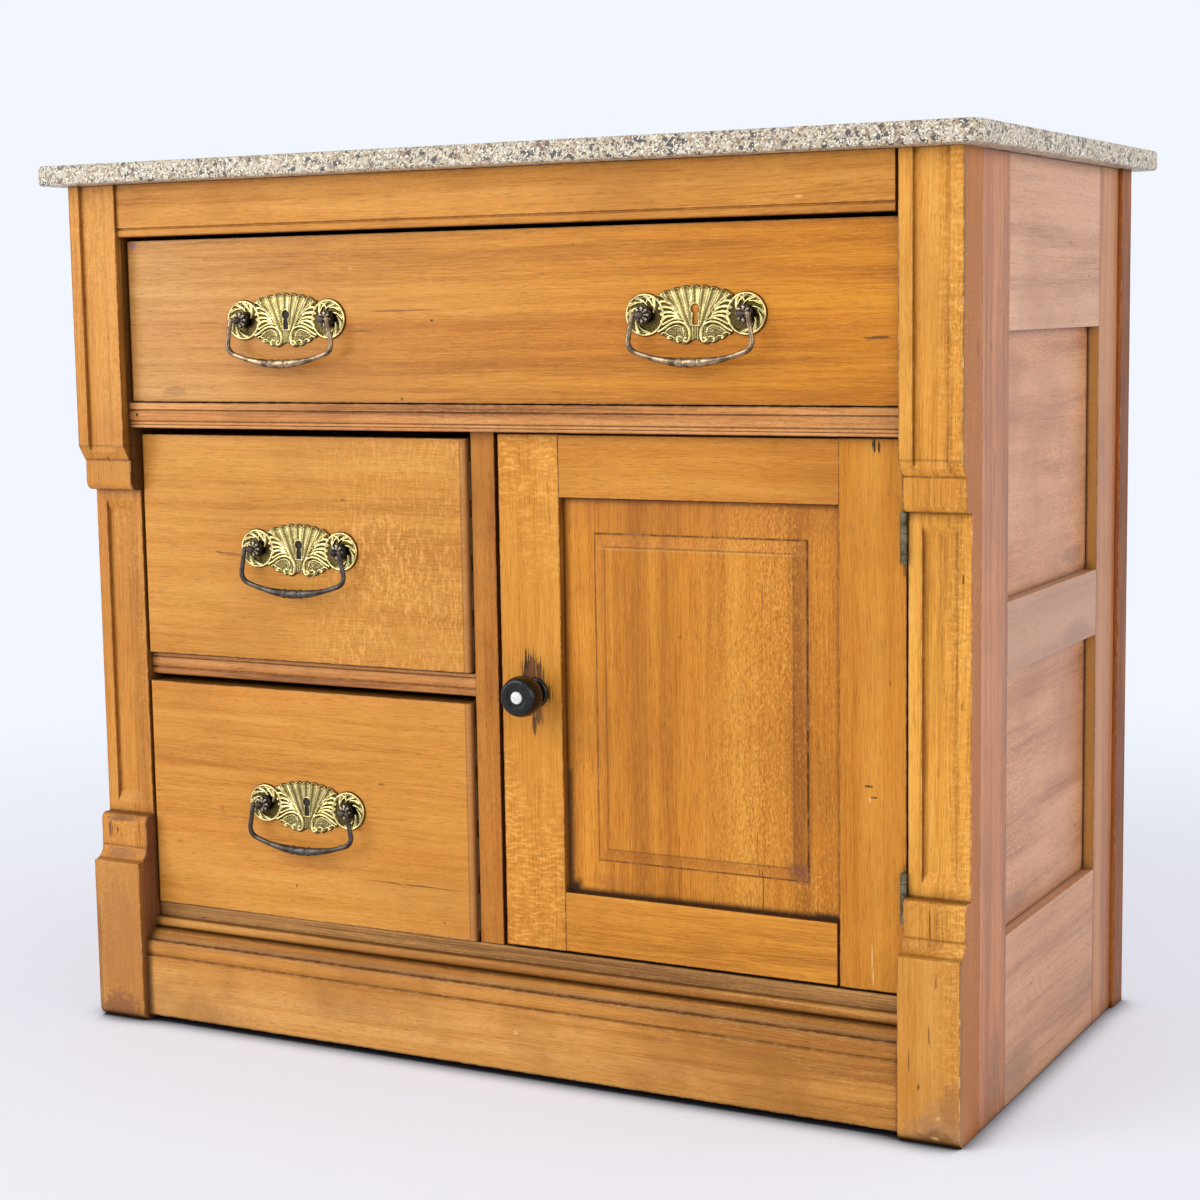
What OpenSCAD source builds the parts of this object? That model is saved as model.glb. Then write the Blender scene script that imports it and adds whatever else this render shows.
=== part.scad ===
// Washstand commode: a chest with one wide drawer, two short drawers, a panelled
// door and a stone top. Millimetres, +Z up, the front faces -Y. The origin lies on
// the floor, at the middle of the stone's width and depth.

/* [Case] */
// Width over the two side frames
case_w = 724; // [660:1:820]
// Height from the floor to the underside of the stone
case_h = 658; // [640:1:740]
// Depth from the face of the upper posts to the back boards
case_d = 381; // [350:1:450]

/* [Stone top] */
// Thickness of the slab
stone_t = 15; // [12:0.5:30]
// Overhang past each side of the case
stone_side = 17; // [8:1:30]
// Overhang past the face of the upper posts
stone_front = 20; // [12:1:35]
// Overhang past the back boards
stone_back = 31; // [5:1:40]
// Radius of the slab's corners in plan
stone_r = 10; // [6:1:20]
// Eased edge of the slab
stone_ease = 1.5; // [0.5:0.5:3]

/* [Posts] */
// Width of a front post
post_w = 44; // [36:1:52]
// Depth of the post's blank behind the upper face
post_d = 37; // [34:1:42]
// How far the lower length of the post is set back
post_step = 19; // [16:0.5:21]
// How far the corbel's face is set back
corbel_in = 7.8; // [5:0.2:10]
// Height of the corbel below its slant
corbel_h = 24; // [18:1:30]
// Height of the slant between the upper face and the corbel
slant_h = 11; // [8:1:14]
// Distance from the underside of the waist rail down to the slant
slant_drop = 14; // [8:1:20]
// How far the foot stands in front of the upper face
foot_proud = 2; // [0:0.5:4]
// Height of the foot's face up to its cove
foot_h = 127.5; // [105:0.5:140]
// How far the cap of the foot is set back
cap_in = 9; // [6:0.5:12]
// Height of the cap above the cove
cap_h = 25.5; // [15:0.5:35]
// Radius worn on the front lower edge of the foot
foot_round = 8; // [2:1:12]
// Width of the channels cut along a post
channel_w = 25; // [16:1:30]
// Depth of the channels
channel_d = 3; // [1.5:0.5:4]
// Distance from the cap or the corbel to the end of the lower channel
channel_end = 11; // [6:1:30]

/* [Rails] */
// Height of the frieze rail under the stone
frieze_h = 40; // [30:1:55]
// How far the frieze rail is set back
frieze_in = 2.5; // [1:0.5:8]
// Thickness of the frieze rail
frieze_t = 20; // [16:1:24]
// Open shoulder at the right end of the frieze rail
frieze_shoulder = 3; // [0:0.5:5]
// Height of the wide drawer's opening
top_opening_h = 126.5; // [100:0.5:150]
// Thickness of the waist rail
waist_t = 19.5; // [17:0.5:26]
// How far the waist rail is set back
waist_in = 9; // [6:0.5:11]
// Depth of the waist rail from front to back
waist_d = 40; // [36:1:60]
// Height of the lower short drawer's opening
low_opening_h = 184.5; // [150:0.5:195]
// Thickness of the rail between the short drawers
drawer_rail_t = 17; // [14:1:24]
// How far that rail is set back
drawer_rail_in = 25; // [24:0.5:28]
// Depth of that rail from front to back
drawer_rail_d = 20; // [16:1:30]
// Width of the centre stile
stile_w = 20; // [18:1:30]
// How far the centre stile is set back
stile_in = 24.5; // [23.5:0.5:25.5]
// Thickness of the centre stile
stile_t = 15; // [12:0.5:18]
// Distance of the centre stile's right edge from the middle of the case
stile_x = 0; // [-30:1:30]
// Height of each small bead on the waist rail
waist_small = 2.7; // [2:0.1:3]
// Height of the wide bead on the waist rail
waist_wide = 8.2; // [6:0.1:9]
// Height of the bead on the rail between the short drawers
rail_bead_h = 5.1; // [4:0.1:6]
// Height of the flat band on that rail
rail_band_h = 3.4; // [2.5:0.1:4.5]
// Length of the rails' tenons
tenon_l = 14; // [8:1:18]

/* [Base] */
// Height of the base rail's upper edge above the floor
base_h = 92.5; // [86:0.5:102]
// How far the base rail is set back
base_in = 24; // [22:0.5:26]
// Thickness of the base rail
base_t = 20; // [18:1:24]
// Height of the base rail
base_rail_h = 40; // [30:1:45]
// Set back of the plinth board's flat face
plinth_in = 4; // [2:0.5:6]
// Height of the plinth board's lower edge above the floor
plinth_lift = 4.5; // [2:0.5:8]
// Height of the plinth board's top edge above the floor
plinth_top = 81.5; // [78:0.5:84]
// Height of the bead at the top of the plinth board
bead_h = 8.5; // [6:0.5:10]
// Height of the band under the bead
ogee_h = 7.5; // [6:0.5:10]
// Height of the rounded band under the ogee
band_h = 12; // [9:0.5:15]

/* [Side frames] */
// Thickness of the side frames
side_t = 20; // [18:0.5:24]
// Width of the stile behind the post
front_stile_w = 56; // [40:1:70]
// Width of the back stile
back_stile_w = 49; // [40:1:70]
// Height of the side frame's top rail
side_top_h = 118.5; // [90:0.5:140]
// Height of the side frame's middle rail
side_mid_h = 50; // [40:1:60]
// Height of the middle rail's lower edge above the floor
side_mid_z = 306; // [296:1:316]
// Height of the side frame's bottom rail
side_low_h = 123; // [100:1:140]
// Thickness of the side panels
side_panel_t = 8; // [6:0.5:9]
// How far the side panels are sunk
side_panel_in = 9; // [7:0.5:10]
// Depth of the grooves that hold the panels
groove_d = 8; // [6:0.5:9]
// Depth of the strips at the back corners
strip_d = 25; // [18:1:32]
// Width of the strips at the back corners
strip_w = 32; // [26:1:40]
// How far the strips stand out past the side frames
strip_proud = 3.3; // [0:0.1:5]

/* [Inside] */
// Thickness of the back boards
back_t = 10; // [6:0.5:12]
// Number of back boards
back_count = 3; // [2:1:5]
// Gap between neighbouring back boards
back_gap = 0.5; // [0.3:0.1:1]
// Height of the lowest back board's edge above the floor
back_lift = 20; // [0:1:50]
// How far the back boards reach past the inner faces of the side frames
back_lap = 3; // [2:0.5:6]
// Depth of the rail along the top of the back
back_rail_t = 15; // [10:1:18]
// Height of that rail
back_rail_h = 50; // [30:1:70]
// Thickness of the partition
partition_t = 16; // [12:0.5:18]
// Thickness of the board over the cupboard
dust_t = 10; // [8:0.5:12]
// Thickness of the cupboard floor
floor_t = 10; // [8:0.5:14]
// How far boards are let into the rails that carry them
rebate_d = 6; // [4:0.5:8]
// Thickness of the drawer runners
runner_t = 5.5; // [4:0.5:8]
// Length of a drawer runner across the case
runner_w = 42; // [36:1:60]
// Height of the guides beside the drawers
guide_h = 20; // [12:1:30]
// Depth of the blocks that stop drawers and door
stop_t = 10.5; // [8:0.5:14]
// Width of the blocks that stop a drawer
stop_w = 17; // [12:1:24]
// Width of the blocks that stop the door
door_stop_w = 40; // [20:1:60]
// Height of the blocks that stop the door
door_stop_h = 12; // [8:1:20]

/* [Drawers] */
// Thickness of the drawer fronts
front_t = 20; // [18:1:24]
// Set back of the wide drawer's front
top_front_in = 11; // [9:0.5:13]
// Set back of the short drawers' fronts
small_front_in = 20; // [18:0.5:21]
// Radius on the ends of the drawer fronts
front_round = 3; // [1:0.5:4]
// Gap under each drawer front
gap_low = 1; // [0.5:0.1:2]
// Gap over the wide drawer's front
top_gap = 3; // [1:0.5:6]
// Gap over the upper short drawer's front
upper_gap = 5.5; // [2:0.5:8]
// Gap over the lower short drawer's front
lower_gap = 4.7; // [2:0.1:8]
// Gap beside the drawer fronts
end_gap = 1; // [0.8:0.1:2]
// Gap between the short drawers and the centre stile
stile_gap = 2; // [1:0.5:4]
// Thickness of the drawer sides and backs
drawer_side_t = 11; // [9:0.5:14]
// Thickness of the drawer bottoms
drawer_bottom_t = 6; // [4:0.5:8]
// Height of a drawer bottom above the lower edge of the sides
bottom_lift = 10; // [6:1:14]
// How much lower than the front the drawer sides end
side_drop = 11; // [6:0.5:16]
// Thickness of wood left in front of the dovetails
lap = 6; // [4:0.5:8]
// Number of dovetails at each corner
tail_count = 4; // [2:1:6]

/* [Door] */
// Set back of the door's face
door_in = 19.5; // [18.5:0.5:20.5]
// Thickness of the door
door_t = 20; // [19:0.5:22]
// Gap between the centre stile and the door
door_stile_gap = 6; // [3:0.5:8]
// Gap between the door's edge and the post
door_post_gap = 1.5; // [1.4:0.1:2]
// Gap over the door
door_gap_top = 1.5; // [1:0.5:4]
// Gap under the door
door_gap_low = 3; // [1.5:0.5:5]
// Width of the lock stile
lock_stile_w = 49; // [40:1:60]
// Width of the hinge stile
hinge_stile_w = 48; // [40:1:60]
// Height of the door's top rail
door_top_h = 44.5; // [36:0.5:56]
// Height of the door's bottom rail
door_low_h = 43.5; // [36:0.5:56]
// Open shoulder at the right end of the bottom rail
door_shoulder = 2; // [0:0.5:3]
// Depth of the grooves in the door's frame
door_groove_d = 10; // [8:0.5:12]
// How far the panel's border is sunk
panel_in = 6.5; // [5:0.5:7.5]
// Thickness of the panel's border
panel_t = 6; // [5:0.5:7]
// How far the raised field stands over the border
field_rise = 3.5; // [2:0.5:5]
// Width of the border round the raised field
border_w = 25.5; // [15:0.5:35]
// Width of the cove round the raised field
cove_w = 9; // [5:0.5:14]

/* [Hinges] */
// Length of a hinge
hinge_l = 34.5; // [28:0.5:45]
// Radius of the hinge barrel
barrel_r = 2.3; // [2.1:0.1:2.4]
// Radius of the hinge pin
pin_r = 1.2; // [0.9:0.05:1.3]
// Thickness of the leaves
leaf_t = 1; // [0.8:0.05:1.05]
// Width of the leaves behind the barrel
leaf_w = 16; // [12:0.5:17]
// Distance of the hinge axis in front of the door's face
hinge_out = 2.5; // [2.5:0.05:2.7]
// Distance from the top of the door to the upper hinge
hinge_from_top = 48; // [30:0.5:90]
// Distance from the bottom of the door to the lower hinge
hinge_from_low = 49.5; // [30:0.5:90]
// Radius of the screw shanks
screw_r = 1.2; // [1:0.1:1.5]
// Length of the screws
screw_l = 14; // [10:1:18]

/* [Knob and latch] */
// Distance of the knob's axis from the door's free edge
knob_edge = 27; // [22:0.5:28]
// Height of the knob's axis over the lower edge of the door
knob_up = 189; // [150:1:240]
// How far the knob stands out from the door
knob_out = 28; // [24:0.5:34]
// Largest radius of the knob
knob_r = 15; // [12:0.5:18]
// Distance from the door's face to the widest place of the knob
knob_belly = 18.8; // [15:0.1:22]
// Radius of the knob's front face
knob_face_r = 11.3; // [9:0.1:11.5]
// Radius of the recess in the front face
recess_r = 7.5; // [6:0.5:8.5]
// Radius of the pale stud
stud_r = 4.5; // [3:0.5:5.5]
// Radius of the rose under the knob
rose_r = 11; // [9:0.5:14]
// Thickness of the rose
rose_t = 3; // [2:0.5:4]
// Radius of the latch spindle
spindle_r = 4; // [3:0.1:4.5]
// Length of the latch tongue from the spindle's axis
tongue_l = 44; // [41:0.5:46]
// Width of the tongue
tongue_w = 12; // [9:0.5:14]
// Thickness of the tongue
tongue_t = 3; // [2:0.5:3.5]

/* [Drawer pulls] */
// Distance of the wide drawer's pulls from the middle
pull_x = 168.5; // [120:0.5:220]
// Distance between the two posts of a pull
boring = 76.2; // [64:0.1:96]
// Thickness of the pull plates
plate_t = 2; // [1.2:0.1:2.4]
// Radius of the round ends of a plate
lobe_r = 15; // [12:0.5:17]
// Height of the fan above the line of the posts
fan_h = 20; // [17:0.5:24]
// Depth of the scrolls below the line of the posts
scroll_h = 20.5; // [17:0.5:24]
// Depth of the notches between the scallops of the fan
scallop_d = 2.2; // [1:0.1:3]
// Height of the keyhole
keyhole_l = 15; // [12:0.5:18]
// Radius of the keyhole's round end
keyhole_r = 3.5; // [2.5:0.1:4]
// Distance of the bail's axis from the drawer front
bail_out = 11; // [9.5:0.1:13]
// Radius of the ball that carries the bail
ball_r = 3; // [2.6:0.1:3.4]
// Radius of the rosette on each post
rosette_r = 6; // [4.5:0.1:7]
// Radius of the threaded shank behind a post
shank_r = 2; // [1.5:0.1:2.4]
// Radius of the bail's wire
wire_r = 1.6; // [1.3:0.1:1.8]
// Radius of the bail's pivots
pivot_r = 1; // [0.8:0.05:1.1]
// Drop of the bail's wire below its axis
bail_drop = 32.5; // [28:0.5:36]
// Radius of the bail's corners
bail_corner = 8; // [6:0.5:10]
// Rise of the bail's lower bar towards its corners, in degrees
bail_bow = 20; // [14:1:24]
// Lean of the bail's arms, in degrees
bail_lean = 11; // [6:1:14]
// Radius of the swelling at the middle of the bail
swell_r = 3.3; // [2.4:0.1:3.6]
// Half length of the swelling
swell_l = 20; // [14:1:24]

/* [Fits] */
// Running gap between pieces that move past each other
run_gap = 0.3; // [0.25:0.05:0.5]
// Gap between a drawer's side and its guide
guide_gap = 0.6; // [0.3:0.1:1]
// Radial play of a pin in its bore
pin_play = 0.05; // [0.02:0.01:0.09]
// Radial play of a bail's pivot in its ball
bail_play = 0.1; // [0.05:0.01:0.2]
// Depth left free behind a tenon, a tongue or a screw
end_play = 0.5; // [0.3:0.1:0.8]

/* [Hidden] */
$fn = 48;

wood = "peru";
wood_dark = "sienna";
wood_inside = "burlywood";
granite = "tan";
brass = "goldenrod";
bail_copper = "rosybrown";
iron = "dimgray";
ebony = "black";
bone = "ivory";

// How far a cutting shape reaches past the piece that it cuts
over = 1;

// Planes of the case, with y = 0 at the face of the upper posts
half_w = case_w / 2;
front_y = (stone_front - case_d - stone_back) / 2;
post_x = half_w - post_w;
side_x = half_w - side_t;
strip_y = case_d - strip_d;
board_y = case_d - back_t;
strip_x = half_w + strip_proud - strip_w;

// Heights of the openings, from the floor
frieze_z = case_h - frieze_h;
waist_top = frieze_z - top_opening_h;
waist_z = waist_top - waist_t;
rail_z = base_h + low_opening_h;
rail_top = rail_z + drawer_rail_t;
dust_z = waist_top - runner_t - dust_t;
stile_left = stile_x - stile_w;
stile_back = stile_in + stile_t;
base_back = base_in + base_t;
waist_back = waist_in + waist_d;
partition_x = stile_x - (stile_w + partition_t) / 2;
partition_right = partition_x + partition_t;

// Post profile heights
slant_z = waist_z - slant_drop;
corbel_top = slant_z - slant_h;
corbel_z = corbel_top - corbel_h;
corbel_round = 6.5;
corbel_lip = 1;
cove_r = cap_in + foot_proud;
cap_z = foot_h + cove_r;
cap_top = cap_z + cap_h;
cap_round = 5;
channel_run = 6;

// Reeds cut on the rails
reed_groove = 1.6;
reed_rise = 1;
reed_gap = 0.4;
reed_n = 8;
frieze_bead = 5.4;
waist_groove = 2;
waist_small_rise = 1.2;
waist_wide_rise = 1.8;
band_in = 0.6;
base_line = 1;

// Mouldings of the plinth board
plinth_step = 1.5;
ogee_in = 4;
ogee_d = 6;
ogee_n = 6;
bead_back = 4;
bead_rise = 3;

// Tenons, as [front, back, bottom, top]
tenon_t = 8;
thin_tenon_t = 6;
tenon_in = 4;
frieze_tenon_in = 6;
rail_tenon_in = 3;
base_tenon_in = 2;
plinth_tenon_in = 6;
plinth_tenon_low = 8;
plinth_tenon_top = 24;
frieze_tenon = [frieze_in + frieze_tenon_in, frieze_in + frieze_tenon_in + tenon_t,
    frieze_z + tenon_in, case_h - tenon_in];
waist_tenon = [waist_in + tenon_in, waist_in + tenon_in + tenon_t,
    waist_z + tenon_in, waist_top - tenon_in];
rail_tenon = [drawer_rail_in + rail_tenon_in, drawer_rail_in + rail_tenon_in + thin_tenon_t,
    rail_z + tenon_in, rail_top - tenon_in];
base_rail_z = base_h - base_rail_h;
base_tenon = [base_in + base_tenon_in, base_in + base_tenon_in + tenon_t,
    base_rail_z + tenon_in, base_h - floor_t - tenon_in];
plinth_tenon = [plinth_in + plinth_tenon_in, plinth_in + plinth_tenon_in + tenon_t,
    plinth_lift + plinth_tenon_low, plinth_top - plinth_tenon_top];
stile_tenon_l = 8;
stub_l = 8;

// Side frames
side_front = post_d;
side_back = strip_y;
stile_edge = side_front + front_stile_w;
back_edge = side_back - back_stile_w;
panel_face = half_w - side_panel_in;
panel_back = panel_face - side_panel_t;
tongue_in = groove_d - end_play;

// Drawers as [left, right, face, bottom, top, lower edge of the sides]
top_drawer = [-post_x + end_gap, post_x - end_gap, top_front_in,
    waist_top + gap_low, frieze_z - top_gap, waist_top + run_gap];
upper_drawer = [-post_x + end_gap, stile_left - stile_gap, small_front_in,
    rail_top + gap_low, waist_z - upper_gap, rail_top + run_gap];
lower_drawer = [-post_x + end_gap, stile_left - stile_gap, small_front_in,
    base_h + gap_low, rail_z - lower_gap, base_h + run_gap];
stop_y = strip_y - stop_t;
drawer_end = stop_y - end_play;
bottom_groove = 5;
tail_base = 0.3;
tail_flare = 2;
nut_r = 4.5;
nut_t = 2.5;

// Door
door_x = stile_x + door_stile_gap;
door_right = post_x - door_post_gap;
door_z = base_h + door_gap_low;
door_top = waist_z - door_gap_top;
door_back = door_in + door_t;
field_x = door_x + lock_stile_w;
field_right = door_right - hinge_stile_w;
field_z = door_z + door_low_h;
field_top = door_top - door_top_h;
border_y = door_in + panel_in;
border_back = border_y + panel_t;
door_tongue = door_groove_d - end_play;
quirk = 0.8;
field_root = 2;

// Hinges
axis_inset = 1.9;
hinge_x = door_right + leaf_t - axis_inset;
hinge_y = door_in - hinge_out;
leaf_back = hinge_y + barrel_r + run_gap + leaf_w;
frame_leaf_x = post_x - leaf_t;
door_leaf_x = door_right - leaf_t;
hinge_zs = [door_top - hinge_from_top - hinge_l, door_z + hinge_from_low];
knuckles = 5;
knuckle_l = hinge_l / knuckles;
screw_ys = (door_in + leaf_back) / 2;
leaf_clear = 0.2;
pin_head = 0.5;
pin_cap = 0.6;
screw_head = 2.4;
screw_tip = 3;
screw_pitch = hinge_l / 3;

// Knob and latch
knob_x = door_x + knob_edge;
knob_z = door_z + knob_up;
neck_wall = 1.5;
neck_r = spindle_r + neck_wall;
flange = 1.5;
flange_r = neck_r + flange;
neck_l = 5;
knob_n = 8;
rose_edge = 1;
socket_d = 8;
recess_d = 1.2;
stud_edge = 0.6;
stud_n = 5;
tongue_y = door_back + end_play;
notch_play = 3;
notch_back = 1;
notch_dx = knob_x - partition_right;
notch_low = sqrt(max(pow(tongue_l, 2) + pow(tongue_w / 2, 2) - pow(notch_dx, 2), 1));

// Pulls
post_half = boring / 2;
eye_wall = 0.15;
eye_r = wire_r + eye_wall;
arm_x = post_half + ball_r + run_gap + eye_r;
corner_turn = 90 + bail_lean;
bow_k = sin(bail_bow) + tan(bail_lean) * (1 - cos(bail_bow));
corner_x = bail_corner * (sin(corner_turn) - sin(bail_bow));
corner_z = bail_corner * (cos(bail_bow) - cos(corner_turn));
bow_r = (arm_x - corner_x + tan(bail_lean) * (bail_drop - corner_z)) / bow_k;
bow_x = bow_r * sin(bail_bow);
bow_z = bow_r * (1 - cos(bail_bow)) - bail_drop;
bail_merge = 0.4;
pivot_end = 0.4;
collar_zone = 4;
collar_out = 3;
collar_in = 1.4;
collar_rise = 0.5;
collar_dip = 0.3;
grip_thin = 0.3;
grip_n = 8;
fan_count = 9;
fan_n = 3 * fan_count;
lobe_lap = 10;
fan_half = post_half - lobe_lap;
fan_side_h = 14.7;
scroll_meet = 2;
fan_low = scroll_meet - lobe_r;
scroll_turn = 120;
scroll_notch = 3.5;
notch_slope = 4;
scroll_n = 12;
lobe_from = 130;
lobe_to = -125;
lobe_n = 16;
rosette_t = 3;
plate_gap = 0.8;
post_collar = 1.2;
thread_end = 2;
cove_n = 5;

// Points of a circular arc about c, from angle a0 to a1
function arc_pts(c, r, a0, a1, n = 6) =
    [for (i = [0 : n]) c + r * [cos(a0 + (a1 - a0) * i / n), sin(a0 + (a1 - a0) * i / n)]];

// Points of a rounded bead that stands out by rise in front of y, from z0 up to z1
function bead_pts(y, z0, z1, rise, n = reed_n) =
    [for (i = [0 : n]) [y - rise * sin(180 * i / n), (z0 + z1) / 2 - (z1 - z0) / 2 * cos(180 * i / n)]];

// A box given by its limits along x, y and z
module block(x, y, z) {
    translate([x[0], y[0], z[0]]) cube([x[1] - x[0], y[1] - y[0], z[1] - z[0]]);
}

// A profile of [y, z] points drawn along x
module along_x(x0, x1, pts) {
    translate([x0, 0, 0]) rotate([90, 0, 90]) linear_extrude(x1 - x0) polygon(pts);
}

// A cylinder along x, along y and along z, each between two places
module rod_x(x0, x1, y, z, r) {
    translate([x0, y, z]) rotate([0, 90, 0]) cylinder(h = x1 - x0, r = r);
}

module rod_y(x, y0, y1, z, r) {
    translate([x, y1, z]) rotate([90, 0, 0]) cylinder(h = y1 - y0, r = r);
}

module rod_z(x, y, z0, z1, r) {
    translate([x, y, z0]) cylinder(h = z1 - z0, r = r);
}

// Places a piece drawn from the post's face into the part's frame
module placed() {
    translate([0, front_y, 0]) children();
}

module right_and_left() {
    children();
    mirror([1, 0, 0]) children();
}

// A tenon t = [front, back, bottom, top] that runs from x0 to x1
module tenon(t, x0, x1) {
    block([x0, x1], [t[0], t[1]], [t[2], t[3]]);
}

// A mortise for a post, deeper than the tenon by the end play
module mortise(t) {
    tenon(t, post_x - over, post_x + tenon_l + end_play);
}

// Stone

module slab_profile(half) {
    polygon([[-half + stone_ease, 0], [half - stone_ease, 0], [half, stone_ease],
        [half, stone_t - stone_ease], [half - stone_ease, stone_t],
        [-half + stone_ease, stone_t], [-half, stone_t - stone_ease], [-half, stone_ease]]);
}

module stone_top() {
    slab_w = case_w + 2 * stone_side;
    slab_d = case_d + stone_front + stone_back;
    color(granite) translate([0, 0, case_h]) {
        translate([0, slab_d / 2 - stone_r, 0]) rotate([90, 0, 0])
            linear_extrude(slab_d - 2 * stone_r) slab_profile(slab_w / 2);
        translate([stone_r - slab_w / 2, 0, 0]) rotate([90, 0, 90])
            linear_extrude(slab_w - 2 * stone_r) slab_profile(slab_d / 2);
        for (sx = [-1, 1], sy = [-1, 1])
            translate([sx * (slab_w / 2 - stone_r), sy * (slab_d / 2 - stone_r), 0])
                rotate_extrude() polygon([[0, 0], [stone_r - stone_ease, 0], [stone_r, stone_ease],
                    [stone_r, stone_t - stone_ease], [stone_r - stone_ease, stone_t], [0, stone_t]]);
    }
}

// Front posts

function post_pts() = concat(
    [[post_d, case_h], [post_d, 0]],
    arc_pts([foot_round - foot_proud, foot_round], foot_round, 270, 180),
    arc_pts([-foot_proud, cap_z], cove_r, 270, 360),
    arc_pts([cap_in + cap_round, cap_top - cap_round], cap_round, 180, 90),
    [[post_step, cap_top], [post_step, corbel_z]],
    arc_pts([corbel_in + corbel_round, corbel_z + corbel_round], corbel_round, 270, 180),
    [[corbel_in, corbel_top], [corbel_in - corbel_lip, corbel_top], [0, slant_z], [0, case_h]]);

// The lower channel runs out to the surface at both ends
module lower_channel(mid) {
    z0 = cap_top + channel_end;
    z1 = corbel_z - channel_end;
    along_x(mid - channel_w / 2, mid + channel_w / 2, [[post_step - over, z0 - channel_run / 2],
        [post_step, z0 - channel_run / 2], [post_step + channel_d, z0 + channel_run],
        [post_step + channel_d, z1 - channel_run], [post_step, z1 + channel_run / 2],
        [post_step - over, z1 + channel_run / 2]]);
}

module front_post() {
    mid = half_w - post_w / 2;
    difference() {
        along_x(post_x, half_w, post_pts());
        block([mid - channel_w / 2, mid + channel_w / 2], [-over, channel_d], [corbel_top, case_h + over]);
        lower_channel(mid);
        mortise(frieze_tenon);
        mortise(waist_tenon);
        mortise(base_tenon);
        mortise(plinth_tenon);
    }
}

module right_front_post() {
    color(wood) placed() difference() {
        front_post();
        frame_screw_set();
    }
}

module left_front_post() {
    color(wood) placed() mirror([1, 0, 0]) difference() {
        front_post();
        mortise(rail_tenon);
    }
}

// Rails and stiles of the front

module frieze_rail() {
    bead_top = frieze_z + frieze_bead;
    back = frieze_in + frieze_t;
    right_end = post_x - frieze_shoulder;
    pts = concat([[back, case_h], [back, frieze_z]],
        bead_pts(frieze_in + reed_rise, frieze_z, bead_top, reed_rise),
        [[frieze_in + reed_groove, bead_top], [frieze_in + reed_groove, bead_top + reed_rise],
        [frieze_in, bead_top + reed_groove], [frieze_in, case_h]]);
    color(wood) placed() {
        along_x(-post_x, right_end, pts);
        tenon(frieze_tenon, -post_x - tenon_l, post_x + tenon_l);
    }
}

// Reeded nosing: two small beads, a wide bead and a flat band above
function waist_pts() =
    let (y = waist_in + waist_groove, band_y = waist_in + band_in, z1 = waist_z + waist_small,
        z2 = z1 + waist_small, z3 = z2 + waist_wide)
    concat([[waist_back, waist_top], [waist_back, waist_z]],
        bead_pts(y, waist_z, z1, reed_rise), bead_pts(y, z1, z2 - reed_gap, waist_small_rise),
        bead_pts(y, z2, z3, waist_wide_rise), [[y, z3 + reed_gap], [band_y, z3 + reed_rise],
        [band_y, waist_top]]);

module waist_rail() {
    color(wood_dark) placed() difference() {
        union() {
            along_x(-post_x, post_x, waist_pts());
            tenon(waist_tenon, -post_x - tenon_l, post_x + tenon_l);
        }
        dust_blank();
        tenon(stile_top_tenon(), stile_left, stile_x);
    }
}

// Thin bead, broad band, groove and a lower band
function drawer_rail_pts() =
    let (y = drawer_rail_in, back = y + drawer_rail_d, z1 = rail_z + rail_bead_h,
        z2 = rail_top - rail_band_h)
    concat([[back, rail_top], [back, rail_z]], bead_pts(y + reed_rise, rail_z, z1, reed_rise),
        [[y + reed_groove, z1 + reed_rise / 2]],
        bead_pts(y + reed_rise, z1 + reed_rise, z2, reed_rise),
        [[y + reed_groove, z2 + reed_gap], [y + band_in, z2 + reed_rise], [y + band_in, rail_top]]);

module drawer_rail() {
    color(wood_dark) placed() {
        along_x(-post_x, stile_left, drawer_rail_pts());
        tenon(rail_tenon, -post_x - tenon_l, stile_left + stub_l);
    }
}

function stile_tenon(z0, z1) = [stile_in + tenon_in, stile_in + tenon_in + thin_tenon_t, z0, z1];
function stile_low_tenon() = stile_tenon(base_h - stile_tenon_l, base_h);
function stile_top_tenon() = stile_tenon(waist_z, waist_z + stile_tenon_l);

module centre_stile() {
    color(wood) placed() difference() {
        union() {
            block([stile_left, stile_x], [stile_in, stile_back], [base_h, waist_z]);
            tenon(stile_low_tenon(), stile_left, stile_x);
            tenon(stile_top_tenon(), stile_left, stile_x);
        }
        tenon(rail_tenon, stile_left - over, stile_left + stub_l);
    }
}

module base_rail() {
    line_top = (plinth_top + base_h) / 2 + base_line;
    color(wood) placed() difference() {
        union() {
            along_x(-post_x, post_x, [[base_back, base_h], [base_back, base_rail_z],
                [base_in, base_rail_z], [base_in, plinth_top], [base_in + base_line, plinth_top],
                [base_in + base_line, line_top - base_line], [base_in, line_top], [base_in, base_h]]);
            tenon(base_tenon, -post_x - tenon_l, post_x + tenon_l);
        }
        floor_blank();
        tenon(stile_low_tenon(), stile_left, stile_x);
    }
}

// Flat face, rounded band, ogee and a bead, from the floor up
function plinth_pts() =
    let (bead_z = plinth_top - bead_h, ogee_z = bead_z - ogee_h, band_z = ogee_z - band_h)
    concat([[base_in, plinth_top], [base_in, plinth_lift], [plinth_in, plinth_lift],
        [plinth_in, band_z - plinth_step], [plinth_in + plinth_step, band_z - plinth_step / 3]],
        bead_pts(plinth_in + plinth_step, band_z, ogee_z, plinth_step),
        [for (i = [0 : ogee_n]) [plinth_in + ogee_in + ogee_d * (1 - cos(90 * i / ogee_n)),
            ogee_z + ogee_h * i / ogee_n]],
        bead_pts(base_in - bead_back, bead_z, plinth_top, bead_rise));

module plinth_board() {
    color(wood) placed() {
        along_x(-post_x, post_x, plinth_pts());
        tenon(plinth_tenon, -post_x - tenon_l, post_x + tenon_l);
    }
}

// Side frames

module side_groove(y0, y1, z0, z1) {
    block([panel_back, panel_face], [y0, y1], [z0, z1]);
}

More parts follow.
